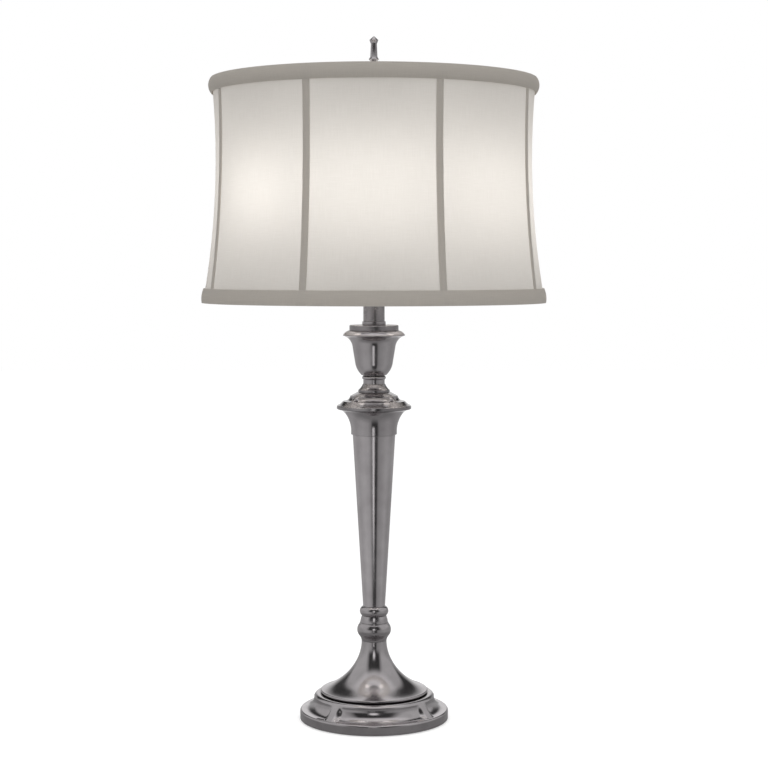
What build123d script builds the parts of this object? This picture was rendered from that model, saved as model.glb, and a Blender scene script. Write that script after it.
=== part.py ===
from build123d import *
import math
import os

# Candlestick lamp in millimetres. Z is up, the floor is z = 0 and the front faces -Y.
# Turned pieces are drawn as outlines in radius and height and revolved about the lamp's axis.
# A bow is how far an arc rises off its chord.

# Fits
seat_clearance = 0.1       # radial play of a piece slipped over another
running_clearance = 0.06   # play of a turning fit
turning_gap = 0.3          # between faces that move past each other

# Bell with its dish edge
bell_height = 62.9
bell_edge_radius = 64.3
bell_edge_thickness = 3.4
bell_edge_bow = 1.7
bell_edge_overhang = 4.3
bell_foot_height = 0.8
bell_neck_radius = 15.0
bell_dish_run = 31.0       # how far the dish leads inwards before it turns up
bell_dish_slope = 20.0     # degrees
bell_neck_run = 24.0       # how far the neck leads down before it turns out
bell_wall = 2.4

# Foot with hollows between narrow ridges
foot_radius = 88.9
rim_height = 9.0
rim_round = 2.6
shelf_margin = 0.9         # from the rim's rounding to the foot of a ridge
hollow_count = 4
foot_turn = 7.0            # degrees that the front hollow faces off the front
hollow_height = 15.3
hollow_bow = 4.0
ridge_bow = 0.9
ridge_angle = 10.0         # degrees left standing between two hollows
shoulder_width = 6.5
shoulder_drop = 3.6
shoulder_bow = 1.1
ledge_margin = 1.2         # flat ledge showing round the bell's edge
foot_wall = 3.0
hollow_wall = 10.5

# Felt and the cord inlet at the back of the rim
felt_inset = 2.9
felt_thickness = 1.0
inlet_radius = 3.6
inlet_bore_radius = 2.4
inlet_flange_width = 0.7
inlet_flange_thickness = 1.2

# Weight and the fasteners that clamp the stem
weight_margin = 3.5
weight_height = 17.0
washer_radius = 16.0
washer_thickness = 1.6
nut_across_flats = 17.5
nut_thickness = 5.5
pipe_radius = 5.1
pipe_bore_radius = 3.4
pipe_tail = 1.4            # pipe showing below the nut

# Knob, knob collar and neck ring
knob_radius = 20.3
knob_cove_height = 7.0
knob_cove_radius = 18.3
knob_cove_bow = 0.6
knob_belly_height = 14.0
knob_band_height = 1.1
knob_band_radius = 17.3
knob_collar_height = 8.5
knob_collar_radius = 16.7
knob_collar_neck_radius = 14.5
knob_collar_bow = 0.35
neck_ring_radius = 17.2
neck_ring_foot_radius = 14.7
neck_ring_foot_height = 4.6
neck_ring_top_radius = 13.6
neck_ring_top_height = 6.5

# Column and its flared collar
column_height = 207.0
column_foot_radius = 13.2
column_head_radius = 25.5
column_wall = 1.6
column_end_thickness = 4.0
collar_step = 1.9          # collar's band stands out from the column's head
collar_band_height = 4.5
collar_flare_height = 25.6
collar_flare_radius = 43.2
collar_flare_lead = 12.0
collar_flare_run = 8.0
collar_wall = 3.0

# Upper disc, a small copy of the foot's motif
disc_overhang = 1.2        # rim beyond the collar's flare
disc_rim_height = 4.6
disc_rim_round = 0.8
disc_shelf_width = 3.4
disc_shelf_rise = 1.0
disc_ledge_width = 4.2
disc_ledge_rise = 4.0
disc_turn = 0.0
disc_hollow_height = 6.3
disc_hollow_bow = 1.8
disc_shoulder_radius = 28.2
disc_ridge_bow = 0.15
disc_cone_height = 4.4
disc_top_radius = 20.0

# Pedestal and cup neck
pedestal_radius = 18.8
pedestal_band_height = 2.6
pedestal_cove_height = 7.2
pedestal_top_radius = 13.4
pedestal_bow = 0.7
cup_neck_radius = 12.8
cup_neck_plain_height = 5.1
cup_neck_top_height = 0.9
cup_bead_height = 4.4
cup_bead_stand = 1.4

# Candle cup, cover and check ring
cup_foot_radius = 14.9
cup_bowl_radius = 22.2
cup_bowl_height = 13.2
cup_bowl_bow = 1.1
cup_waist_radius = 25.4
cup_waist_rise = 19.5
cup_flare_rise = 14.4
cup_flare_bow = 2.9
cup_lip_radius = 36.9
cup_lip_thickness = 0.8
cup_crown_rise = 5.1
cup_crown_bow = 1.0
cup_crown_margin = 0.8     # crown beyond the cover
cup_wall = 2.0
cup_floor = 4.0
cover_radius = 29.2
cover_height = 6.5
cover_round = 0.6
check_ring_wall = 1.2
check_ring_height = 4.3

# Candle tube and its cap
candle_tube_radius = 12.7
candle_tube_wall = 1.0
candle_tube_height = 120.7
tube_cap_thickness = 2.0

# Two-light cluster
cluster_radius = 14.5
cluster_height = 34.0
cluster_thread_depth = 10.0
cluster_round = 2.5
socket_axis_height = 16.0  # above the cluster's foot
arm_radius = 5.0
arm_grip = 5.0             # arm inside the socket cap

# Bulbs, measured outwards from the contact
bulb_contact_radius = 4.6
bulb_contact_length = 1.4
bulb_insulator_length = 5.0
bulb_base_radius = 13.0
bulb_base_length = 26.0
bulb_neck_step = 0.4
bulb_neck_length = 5.0
bulb_globe_radius = 30.0
bulb_shoulder_length = 42.0
bulb_shoulder_bow = 1.8
bulb_join_angle = 35.0     # degrees below the globe's widest circle
bulb_glass_wall = 1.0

# Sockets, built outwards from the bulb's base and the cluster's side
screw_shell_wall = 0.5
screw_shell_flange = 1.44
screw_shell_length = 22.0
core_gap = 0.5
core_inset = 2.5           # core starts inside the shell
core_length = 17.5
liner_wall = 0.9
liner_inset = 1.5
layer_gap = 0.2            # between liner, shell and cap
shell_wall = 0.6
shell_length = 44.0
cap_stand = 4.5            # cap starts off the cluster's side
cap_crown_radius = 9.0
cap_crown_length = 12.0
cap_skirt_length = 4.5
cap_bow = 3.0
cap_wall = 0.8
cap_overlap = 5.0          # shell inside the cap

# Switches under the sockets
switch_inset = 8.5         # shaft's axis inside the core
switch_shaft_radius = 2.0
switch_shaft_depth = 4.0
switch_shaft_length = 22.0
switch_hole_radius = 3.4
switch_knob_radius = 6.2
switch_knob_collar = 4.0
switch_knob_grip = 3.2     # half the thickness of the grip
switch_knob_grip_height = 7.0
switch_knob_round = 0.9

# Riser, spider and finial
riser_height = 118.0       # from the cluster's top to the spider's seat
riser_radius = 4.8
riser_seat_radius = 9.5
riser_seat_thickness = 3.0
stud_radius = 3.1
stud_lead = 2.0            # stud beyond the finial's insert
hub_radius = 9.5
hub_margin = 0.2           # hub thicker than its arms
spider_arms = 4
arm_wire_radius = 1.4
insert_wall = 1.34
insert_height = 10.5
insert_inset = 0.5
finial_wall = 1.54         # round the insert's pocket
finial_foot_flange = 1.5
finial_foot_height = 3.0
finial_cover = 3.8         # solid above the pocket
finial_base_bow = 0.5
finial_cove_height = 6.9
finial_neck_radius = 3.6
finial_neck_height = 8.5
finial_skirt_radius = 6.2
finial_skirt_rise = 2.2
finial_shaft_radius = 4.3
finial_shaft_step = 2.8
finial_shaft_height = 15.2
finial_waist_radius = 3.6
finial_head_radius = 5.3
finial_head_rise = 4.6
finial_tip_radius = 0.25
finial_tip_rise = 4.6
finial_sides = 6

# Shade
shade_height = 262.0
shade_recess = 14.0        # top of the shade above the spider's seat
shade_panels = 8
shade_waist_radius = 186.0
shade_waist_height = 173.0
shade_flare_radius = 930.0
panel_draw = 2.8           # how far a panel's middle draws in between its ribs
panel_thickness = 1.0
panel_seam = 0.3
panel_levels = 7
ring_wire_radius = 1.5
rib_wire_radius = 1.25
frame_gap = 0.25
trim_height = 17.0
trim_peak = 6.8            # widest point above the trimmed edge
trim_lip_thickness = 1.0
trim_lip_width = 3.4
top_trim_stand = 4.3
bottom_trim_stand = 2.6
trim_edge = 1.2
rib_trim_width = 8.3
rib_trim_stand = 1.2

# Heights of the joints between the stacked pieces
rim_top = felt_thickness + rim_height
shelf_z = rim_top + rim_round
shoulder_z = shelf_z + hollow_height
foot_top = shoulder_z + shoulder_drop
bell_top = foot_top + bell_height
knob_top = bell_top + knob_cove_height + knob_belly_height + knob_band_height
knob_collar_top = knob_top + knob_collar_height
neck_ring_top = knob_collar_top + neck_ring_foot_height + neck_ring_top_height
column_top = neck_ring_top + column_height
collar_top = column_top + collar_band_height + collar_flare_height
disc_rim_top = collar_top + disc_rim_height
disc_ledge_top = disc_rim_top + disc_shelf_rise + disc_ledge_rise
disc_hollow_top = disc_ledge_top + disc_hollow_height
disc_top = disc_hollow_top + disc_cone_height
pedestal_top = disc_top + pedestal_band_height + pedestal_cove_height
cup_foot = pedestal_top + cup_neck_plain_height + cup_bead_height + cup_neck_top_height
cup_bowl_top = cup_foot + cup_bowl_height
cup_waist_top = cup_bowl_top + cup_waist_rise
cup_lip_foot = cup_waist_top + cup_flare_rise
cup_lip_top = cup_lip_foot + cup_lip_thickness
cup_top = cup_lip_top + cup_crown_rise
cover_top = cup_top + cover_height
tube_top = cover_top + candle_tube_height
cluster_foot = tube_top + tube_cap_thickness
cluster_top = cluster_foot + cluster_height
socket_z = cluster_foot + socket_axis_height
spider_seat = cluster_top + riser_height
hub_top = spider_seat + 2 * arm_wire_radius + hub_margin
insert_foot = hub_top + insert_inset
insert_top = insert_foot + insert_height
stud_top = insert_top + stud_lead
shade_top = spider_seat + shade_recess
shade_bottom = shade_top - shade_height
weight_top = foot_top - foot_wall
weight_foot = weight_top - weight_height
washer_foot = weight_foot - washer_thickness
nut_foot = washer_foot - nut_thickness
pipe_foot = nut_foot - pipe_tail

# Radii that follow from a fit or a neighbour
pipe_hole = pipe_radius + seat_clearance
bell_foot_radius = bell_edge_radius - bell_edge_overhang
ledge_radius = bell_edge_radius + ledge_margin
shoulder_radius = ledge_radius + shoulder_width
foot_cavity_radius = shoulder_radius - hollow_wall
weight_radius = foot_cavity_radius - weight_margin
shelf_radius = foot_radius - rim_round
ridge_foot_radius = shelf_radius - shelf_margin
collar_radius = column_head_radius + collar_step
disc_radius = collar_flare_radius + disc_overhang
disc_shelf_radius = disc_radius - disc_shelf_width
disc_ridge_radius = disc_shelf_radius - disc_ledge_width
screw_shell_bore = bulb_base_radius + running_clearance
screw_shell_radius = screw_shell_bore + screw_shell_wall
core_radius = screw_shell_radius + screw_shell_flange
liner_bore = core_radius + core_gap
liner_radius = liner_bore + liner_wall
shell_bore = liner_radius + layer_gap
shell_radius = shell_bore + shell_wall
cap_bore = shell_radius + layer_gap
cap_radius = cap_bore + cap_wall
insert_radius = stud_radius + running_clearance + insert_wall
pocket_radius = insert_radius + running_clearance
finial_base_radius = pocket_radius + finial_wall

# Places along a socket's axis, outwards from the lamp's axis
cap_start = cluster_radius + cap_stand
cap_crown_end = cap_start + cap_crown_length
cap_end = cap_crown_end + cap_skirt_length
shell_start = cap_end - cap_overlap
shell_end = shell_start + shell_length
core_start = shell_start + core_inset
core_end = core_start + core_length
switch_offset = core_start + switch_inset
bulb_start = core_end + turning_gap
bulb_glass_start = bulb_start + bulb_base_length


def outline(start, *moves):
    """Closed outline. A move is an end point, with the arc's rise as a third value on a curve."""
    edges = []
    here = start
    for move in moves + (start,):
        end = move[:2]
        if len(move) == 3:
            edges.append(SagittaArc(here, end, move[2]))
        else:
            edges.append(Line(here, end))
        here = end
    return make_face(edges)


def turned(face):
    """A face drawn in radius and height, revolved about the lamp's axis."""
    return revolve(Plane.XZ * face, Axis.Z)


def ring(inner, outer, low, high):
    """Plain ring between two radii and two heights."""
    return turned(outline((inner, low), (outer, low), (outer, high), (inner, high)))


def around(count, turn=0.0):
    """Angles of a ring of copies, in degrees from +X, the first one turned off the front."""
    return [turn - 90 + 360 * step / count for step in range(count)]


def quarter_bow(radius):
    """Rise of a quarter circle off its chord."""
    return radius * (1 - math.sqrt(0.5))


def hollowed(blank, top, foot, bow, reach, turn):
    """Cut the hollows round a side that falls from its top edge to its foot."""
    face = outline(top, (*foot, -bow), (reach, foot[1]), (reach, top[1]))
    sweep = 360 / hollow_count - ridge_angle
    cutter = Rot(0, 0, -sweep / 2) * revolve(Plane.XZ * face, Axis.Z, sweep)
    for angle in around(hollow_count, turn):
        blank -= Rot(0, 0, angle) * cutter
    return blank


def felt_pad():
    return ring(0, foot_radius - felt_inset, 0, felt_thickness)


def inlet_place():
    """Middle of the rim's side, where the cord comes in."""
    return Pos(0, 0, felt_thickness + rim_height / 2) * Rot(-90, 0, 0)


def base_foot():
    """Cast shell: round rim, shelf, hollowed side and a shoulder round the bell's seat."""
    blank = turned(outline(
        (pipe_hole, foot_top),
        (ledge_radius, foot_top),
        (shoulder_radius, shoulder_z, shoulder_bow),
        (ridge_foot_radius, shelf_z, -ridge_bow),
        (shelf_radius, shelf_z),
        (foot_radius, rim_top, quarter_bow(rim_round)),
        (foot_radius, felt_thickness),
        (pipe_hole, felt_thickness),
    ))
    top, foot = (shoulder_radius, shoulder_z), (ridge_foot_radius, shelf_z)
    blank = hollowed(blank, top, foot, hollow_bow, foot_radius, foot_turn)
    blank -= ring(0, foot_radius - foot_wall, felt_thickness, shelf_z - foot_wall)
    blank -= ring(0, foot_cavity_radius, felt_thickness, weight_top)
    return blank - inlet_place() * ring(0, inlet_radius, foot_cavity_radius, foot_radius + foot_wall)


def cord_bushing():
    """Sleeve that lines the cord hole, with a flange outside the rim."""
    inner = foot_radius - foot_wall - inlet_flange_thickness
    outer = foot_radius + inlet_flange_thickness
    sleeve_radius = inlet_radius - seat_clearance
    flange_radius = inlet_radius + inlet_flange_width
    return inlet_place() * turned(outline(
        (inlet_bore_radius, inner),
        (sleeve_radius, inner),
        (sleeve_radius, foot_radius),
        (flange_radius, foot_radius),
        (flange_radius, outer),
        (inlet_bore_radius, outer),
    ))


def base_weight():
    return ring(pipe_hole, weight_radius, weight_foot, weight_top)


def bottom_washer():
    return ring(pipe_hole, washer_radius, washer_foot, weight_foot)


def bottom_nut():
    corner = nut_across_flats / math.sqrt(3)
    blank = extrude(Pos(0, 0, nut_foot) * RegularPolygon(corner, 6), amount=nut_thickness)
    return blank - ring(0, pipe_hole, nut_foot, weight_foot)


def centre_pipe():
    return ring(pipe_bore_radius, pipe_radius, pipe_foot, cluster_foot + cluster_thread_depth)


def flare(low, high, lead_in, lead_out):
    """Curve from the dish's edge to the upright neck, with how far each end leads straight on."""
    slope = math.radians(bell_dish_slope)
    first = (low[0] - lead_in * math.cos(slope), low[1] + lead_in * math.sin(slope))
    second = (high[0], high[1] - lead_out)
    return Bezier(low, first, second, high)


def base_bell():
    edge_foot = foot_top + bell_foot_height
    edge_top = edge_foot + bell_edge_thickness
    edge_inner = bell_edge_radius - bell_edge_bow
    outer = [
        Line((pipe_hole, foot_top), (bell_foot_radius, foot_top)),
        Line((bell_foot_radius, foot_top), (bell_foot_radius, edge_foot)),
        Line((bell_foot_radius, edge_foot), (edge_inner, edge_foot)),
        SagittaArc((edge_inner, edge_foot), (edge_inner, edge_top), -bell_edge_bow),
        flare((edge_inner, edge_top), (bell_neck_radius, bell_top), bell_dish_run, bell_neck_run),
        Line((bell_neck_radius, bell_top), (pipe_hole, bell_top)),
        Line((pipe_hole, bell_top), (pipe_hole, foot_top)),
    ]
    hollow_foot = (bell_foot_radius - bell_wall, foot_top)
    hollow_top = (bell_neck_radius - bell_wall, bell_top - bell_wall)
    inner = [
        flare(hollow_foot, hollow_top, bell_dish_run, bell_neck_run),
        Line(hollow_top, (0, hollow_top[1])),
        Line((0, hollow_top[1]), (0, foot_top)),
        Line((0, foot_top), hollow_foot),
    ]
    return turned(make_face(outer)) - turned(make_face(inner))


def lower_knob():
    cove_top = bell_top + knob_cove_height
    belly_top = cove_top + knob_belly_height
    widest = (knob_radius, cove_top + knob_belly_height / 2)
    return turned(make_face([
        Line((pipe_hole, bell_top), (bell_neck_radius, bell_top)),
        SagittaArc((bell_neck_radius, bell_top), (knob_cove_radius, cove_top), knob_cove_bow),
        ThreePointArc((knob_cove_radius, cove_top), widest, (knob_band_radius, belly_top)),
        Line((knob_band_radius, belly_top), (knob_band_radius, knob_top)),
        Line((knob_band_radius, knob_top), (pipe_hole, knob_top)),
        Line((pipe_hole, knob_top), (pipe_hole, bell_top)),
    ]))


def knob_collar():
    return turned(outline(
        (pipe_hole, knob_top),
        (knob_collar_radius, knob_top),
        (knob_collar_neck_radius, knob_collar_top, -knob_collar_bow),
        (pipe_hole, knob_collar_top),
    ))


def neck_ring():
    foot = (neck_ring_foot_radius, knob_collar_top)
    widest = (neck_ring_radius, knob_collar_top + neck_ring_foot_height)
    top = (neck_ring_top_radius, neck_ring_top)
    return turned(make_face([
        Line((pipe_hole, knob_collar_top), foot),
        ThreePointArc(foot, widest, top),
        Line(top, (pipe_hole, neck_ring_top)),
        Line((pipe_hole, neck_ring_top), (pipe_hole, knob_collar_top)),
    ]))


def column():
    """Tapered tube with an end plate at each end that centres it on the pipe."""
    outside = turned(outline(
        (pipe_hole, neck_ring_top),
        (column_foot_radius, neck_ring_top),
        (column_head_radius, column_top),
        (pipe_hole, column_top),
    ))
    hollow_foot = neck_ring_top + column_end_thickness
    hollow_top = column_top - column_end_thickness
    inside = turned(outline(
        (pipe_hole, hollow_foot),
        (column_foot_radius - column_wall, hollow_foot),
        (column_head_radius - column_wall, hollow_top),
        (pipe_hole, hollow_top),
    ))
    return outside - inside


def column_collar():
    """Flared collar, hollow underneath the disc that it carries."""
    band_top = (collar_radius, column_top + collar_band_height)
    flare_top = (collar_flare_radius, collar_top)
    lead = (collar_radius, band_top[1] + collar_flare_lead)
    run = (collar_flare_radius - collar_flare_run, collar_top)
    solid = turned(make_face([
        Line((pipe_hole, column_top), (collar_radius, column_top)),
        Line((collar_radius, column_top), band_top),
        Bezier(band_top, lead, run, flare_top),
        Line(flare_top, (pipe_hole, collar_top)),
        Line((pipe_hole, collar_top), (pipe_hole, column_top)),
    ]))
    return solid - ring(pipe_hole, collar_radius - collar_wall, column_top + collar_wall, collar_top)


def upper_disc():
    blank = turned(outline(
        (pipe_hole, collar_top),
        (disc_radius - disc_rim_round, collar_top),
        (disc_radius, collar_top + disc_rim_round),
        (disc_radius, disc_rim_top - disc_rim_round),
        (disc_radius - disc_rim_round, disc_rim_top),
        (disc_shelf_radius, disc_rim_top + disc_shelf_rise),
        (disc_ridge_radius, disc_ledge_top),
        (disc_shoulder_radius, disc_hollow_top, disc_ridge_bow),
        (disc_top_radius, disc_top),
        (pipe_hole, disc_top),
    ))
    top, foot = (disc_shoulder_radius, disc_hollow_top), (disc_ridge_radius, disc_ledge_top)
    return hollowed(blank, top, foot, disc_hollow_bow, disc_radius, disc_turn)


def disc_pedestal():
    band_top = disc_top + pedestal_band_height
    return turned(outline(
        (pipe_hole, disc_top),
        (pedestal_radius, disc_top),
        (pedestal_radius, band_top),
        (pedestal_top_radius, pedestal_top, pedestal_bow),
        (pipe_hole, pedestal_top),
    ))


def cup_neck():
    plain_top = pedestal_top + cup_neck_plain_height
    bead_top = plain_top + cup_bead_height
    return turned(outline(
        (pipe_hole, pedestal_top),
        (cup_neck_radius, pedestal_top),
        (cup_neck_radius, plain_top),
        (cup_neck_radius, bead_top, -cup_bead_stand),
        (cup_neck_radius, cup_foot),
        (pipe_hole, cup_foot),
    ))


def candle_cup():
    """Turned cup with a thin flared lip, hollow under its cover."""
    outside = turned(outline(
        (pipe_hole, cup_foot),
        (cup_foot_radius, cup_foot),
        (cup_bowl_radius, cup_bowl_top, -cup_bowl_bow),
        (cup_waist_radius, cup_waist_top),
        (cup_lip_radius, cup_lip_foot, cup_flare_bow),
        (cup_lip_radius, cup_lip_top),
        (cover_radius + cup_crown_margin, cup_top, -cup_crown_bow),
        (pipe_hole, cup_top),
    ))
    hollow_radius = cup_waist_radius - cup_wall
    hollow = turned(outline(
        (pipe_hole, cup_foot + cup_floor),
        (cup_foot_radius - cup_wall, cup_foot + cup_floor),
        (cup_bowl_radius - cup_wall, cup_bowl_top + cup_wall),
        (hollow_radius, cup_waist_top),
        (hollow_radius, cup_top),
        (pipe_hole, cup_top),
    ))
    return outside - hollow


def cup_cover():
    return turned(outline(
        (pipe_hole, cup_top),
        (cover_radius, cup_top),
        (cover_radius, cover_top - cover_round),
        (cover_radius - cover_round, cover_top),
        (pipe_hole, cover_top),
    ))


def check_ring():
    bore = candle_tube_radius + seat_clearance
    return ring(bore, bore + check_ring_wall, cover_top, cover_top + check_ring_height)


def candle_tube():
    return ring(candle_tube_radius - candle_tube_wall, candle_tube_radius, cover_top, tube_top)


def tube_cap():
    return ring(pipe_hole, candle_tube_radius, tube_top, cluster_foot)


def outwards(side, piece):
    """Lay a piece drawn up the Z axis along a socket's axis, to the right (+1) or left (-1)."""
    return Pos(0, 0, socket_z) * Rot(0, 90 * side, 0) * piece


def cluster_body():
    """Body with a threaded arm for each socket, on the centre pipe and under the riser."""
    flat = cluster_radius - cluster_round
    block = turned(outline(
        (0, cluster_foot),
        (flat, cluster_foot),
        (cluster_radius, cluster_foot + cluster_round, -quarter_bow(cluster_round)),
        (cluster_radius, cluster_top - cluster_round),
        (flat, cluster_top, -quarter_bow(cluster_round)),
        (0, cluster_top),
    ))
    for side in (1, -1):
        block += outwards(side, ring(0, arm_radius, 0, cap_start + arm_grip))
    block -= ring(0, pipe_hole, cluster_foot, cluster_foot + cluster_thread_depth)
    return block - ring(0, riser_radius + seat_clearance, cluster_top - cluster_thread_depth, cluster_top)


def socket_cap(side):
    hole = arm_radius + seat_clearance
    return outwards(side, turned(outline(
        (hole, cap_start),
        (cap_crown_radius, cap_start),
        (cap_radius, cap_crown_end, -cap_bow),
        (cap_radius, cap_end),
        (cap_bore, cap_end),
        (cap_bore, cap_crown_end),
        (cap_crown_radius - cap_wall, cap_start + cap_wall, cap_bow),
        (hole, cap_start + cap_wall),
    )))


def switch_place(side):
    return Pos(side * switch_offset, 0, 0)


def switch_hole(side):
    """Cutter for the hole that a switch shaft passes, straight down from the socket's axis."""
    return switch_place(side) * ring(0, switch_hole_radius, socket_z - cap_radius, socket_z)


def socket_shell(side):
    return outwards(side, ring(shell_bore, shell_radius, shell_start, shell_end)) - switch_hole(side)


def socket_liner(side):
    tube = ring(liner_bore, liner_radius, shell_start + liner_inset, shell_end - liner_inset)
    return outwards(side, tube) - switch_hole(side)


def shaft_bore_top():
    return socket_z - core_radius + switch_shaft_depth


def socket_core(side):
    """Switch block, with the bore that the switch shaft turns in."""
    block = outwards(side, ring(0, core_radius, core_start, core_end))
    bore_radius = switch_shaft_radius + running_clearance
    return block - switch_place(side) * ring(0, bore_radius, socket_z - cap_radius, shaft_bore_top())


def screw_shell(side):
    """Thin contact shell that takes the bulb's base, flanged on the core."""
    return outwards(side, turned(outline(
        (screw_shell_bore, core_end),
        (core_radius, core_end),
        (core_radius, core_end + screw_shell_wall),
        (screw_shell_radius, core_end + screw_shell_wall),
        (screw_shell_radius, core_end + screw_shell_length),
        (screw_shell_bore, core_end + screw_shell_length),
    )))


def shaft_foot():
    return shaft_bore_top() - turning_gap - switch_shaft_length


def switch_shaft(side):
    return switch_place(side) * ring(0, switch_shaft_radius, shaft_foot(), shaft_foot() + switch_shaft_length)


def switch_knob(side):
    """Round collar and flat-sided grip, pushed onto the shaft's lower end."""
    foot = shaft_foot() - switch_knob_grip_height / 2
    grip_top = foot + switch_knob_grip_height
    top = grip_top + switch_knob_collar
    bevelled = switch_knob_radius - switch_knob_round
    knob = turned(outline(
        (0, foot),
        (bevelled, foot),
        (switch_knob_radius, foot + switch_knob_round),
        (switch_knob_radius, top - switch_knob_round),
        (bevelled, top),
        (0, top),
    ))
    width = 2 * switch_knob_radius
    flat = Pos(0, 0, foot + switch_knob_grip_height / 2) * Box(width, width, switch_knob_grip_height)
    for face in (1, -1):
        knob -= Pos(0, face * (switch_knob_grip + width / 2), 0) * flat
    return switch_place(side) * (knob - ring(0, switch_shaft_radius, shaft_foot(), top))


def bulb_base(side):
    return outwards(side, turned(outline(
        (0, bulb_start),
        (bulb_contact_radius, bulb_start),
        (bulb_contact_radius, bulb_start + bulb_contact_length),
        (bulb_base_radius, bulb_start + bulb_insulator_length),
        (bulb_base_radius, bulb_glass_start),
        (0, bulb_glass_start),
    )))


def bulb_form(inset):
    """Solid of a bulb's outline, its neck, shoulder and round globe all taken in by an inset."""
    start = bulb_glass_start + inset
    neck = bulb_base_radius + bulb_neck_step - inset
    neck_end = bulb_glass_start + bulb_neck_length
    globe = bulb_globe_radius - inset
    centre = neck_end + bulb_shoulder_length
    join = math.radians(bulb_join_angle)
    across, along = globe * math.cos(join), globe * math.sin(join)
    return turned(make_face([
        Line((0, start), (neck, start)),
        Line((neck, start), (neck, neck_end)),
        SagittaArc((neck, neck_end), (across, centre - along), bulb_shoulder_bow),
        ThreePointArc((across, centre - along), (globe, centre), (across, centre + along)),
        ThreePointArc((across, centre + along), (along, centre + across), (0, centre + globe)),
        Line((0, centre + globe), (0, start)),
    ]))


def bulb_glass(side):
    return outwards(side, bulb_form(0) - bulb_form(bulb_glass_wall))


def riser_rod():
    """Rod from the cluster to the spider's seat, turned down to a stud for the finial."""
    foot = cluster_top - cluster_thread_depth
    shoulder = spider_seat - riser_seat_thickness
    return turned(outline(
        (0, foot),
        (riser_radius, foot),
        (riser_radius, shoulder),
        (stud_radius, shoulder),
        (stud_radius, stud_top),
        (0, stud_top),
    ))


def riser_seat():
    hole = stud_radius + seat_clearance
    return ring(hole, riser_seat_radius, spider_seat - riser_seat_thickness, spider_seat)


def rib_angles():
    return around(shade_panels, 180 / shade_panels)


def panel_radius(z):
    """Outside radius of the shade at the middle of a panel."""
    off_waist = z - shade_bottom - shade_waist_height
    return shade_waist_radius + shade_flare_radius - math.sqrt(shade_flare_radius ** 2 - off_waist ** 2)


def rib_radius(z):
    """Outside radius of the shade at a rib, where the panels stand out."""
    share = (z - shade_bottom) / shade_height
    return panel_radius(z) + panel_draw * 4 * share * (1 - share)


def frame_radius(z):
    """Where a frame wire's centre lies, just inside the panels."""
    return rib_radius(z) - panel_thickness - frame_gap - ring_wire_radius


def ring_levels():
    inset = trim_lip_thickness + ring_wire_radius
    return shade_bottom + inset, shade_top - inset


def frame_ring(z):
    return Pos(0, 0, z) * Torus(frame_radius(z), ring_wire_radius)


def bottom_ring():
    return frame_ring(ring_levels()[0])


def top_ring():
    return frame_ring(ring_levels()[1])


def rib_wires():
    low, high = ring_levels()
    middle = (low + high) / 2
    bow = ThreePointArc(
        (frame_radius(low), 0, low),
        (frame_radius(middle), 0, middle),
        (frame_radius(high), 0, high),
    )
    section = Plane(origin=bow @ 0, z_dir=bow % 0) * Circle(rib_wire_radius)
    wire = sweep(section, path=bow) - bottom_ring() - top_ring()
    return [Rot(0, 0, angle) * wire for angle in rib_angles()]


def spider():
    """Hub with arms that rise to the top ring, each at a rib."""
    ring_z = ring_levels()[1]
    hub = ring(stud_radius + running_clearance, hub_radius, spider_seat, hub_top)
    start = Vector(hub_radius - arm_wire_radius, 0, (spider_seat + hub_top) / 2)
    end = Vector(frame_radius(ring_z), 0, ring_z)
    section = Plane(origin=start, z_dir=end - start) * Circle(arm_wire_radius)
    arm = extrude(section, amount=(end - start).length) - top_ring()
    for angle in rib_angles()[::shade_panels // spider_arms]:
        hub += Rot(0, 0, angle) * arm
    return hub - rib_wires()


def panel_section(z, angle):
    """A panel's flat cross-section at a height: two arcs closed by the seams."""
    outer, middle = rib_radius(z), panel_radius(z)
    half = math.radians(180 / shade_panels) - panel_seam / 2 / outer
    centre = math.radians(angle)

    def point(radius, turn):
        return radius * math.cos(centre + turn), radius * math.sin(centre + turn), z

    corners = [point(outer, -half), point(outer, half)]
    inner = [point(outer - panel_thickness, half), point(outer - panel_thickness, -half)]
    return make_face([
        ThreePointArc(corners[0], point(middle, 0), corners[1]),
        Line(corners[1], inner[0]),
        ThreePointArc(inner[0], point(middle - panel_thickness, 0), inner[1]),
        Line(inner[1], corners[0]),
    ])


def shade_panel(angle):
    low = shade_bottom + trim_lip_thickness
    high = shade_top - trim_lip_thickness
    step = (high - low) / (panel_levels - 1)
    return loft([panel_section(low + step * level, angle) for level in range(panel_levels)])


def seam_fall(z, side):
    """How far a panel's outside falls in, at a distance to one side of its rib."""
    half_step = math.radians(180 / shade_panels)
    half_chord = rib_radius(z) * math.sin(half_step)
    rise = panel_radius(z) - rib_radius(z) * math.cos(half_step)
    arc_radius = (half_chord ** 2 + rise ** 2) / (2 * rise)
    lean = half_step - math.asin(half_chord / arc_radius)
    return side * math.tan(lean) + side ** 2 / (2 * arc_radius)


def rib_trim_section(z):
    """Strip's cross-section over the seam of two panels, at the rib in the XZ plane."""
    side = rib_trim_width / 2
    inside = rib_radius(z) + panel_seam / 2
    edge = inside - seam_fall(z, side)
    outer_edge, crown = edge + rib_trim_stand, inside + rib_trim_stand
    return make_face([
        Line((edge, -side, z), (inside, 0, z)),
        Line((inside, 0, z), (edge, side, z)),
        Line((edge, side, z), (outer_edge, side, z)),
        ThreePointArc((outer_edge, side, z), (crown, 0, z), (outer_edge, -side, z)),
        Line((outer_edge, -side, z), (edge, -side, z)),
    ])


def rib_trims():
    """A narrow strip over each seam, between the top and bottom trims."""
    low = shade_bottom + trim_height + panel_seam
    high = shade_top - trim_height - panel_seam
    step = (high - low) / (panel_levels - 1)
    strip = loft([rib_trim_section(low + step * level) for level in range(panel_levels)])
    return [Rot(0, 0, angle) * strip for angle in rib_angles()]


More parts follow.
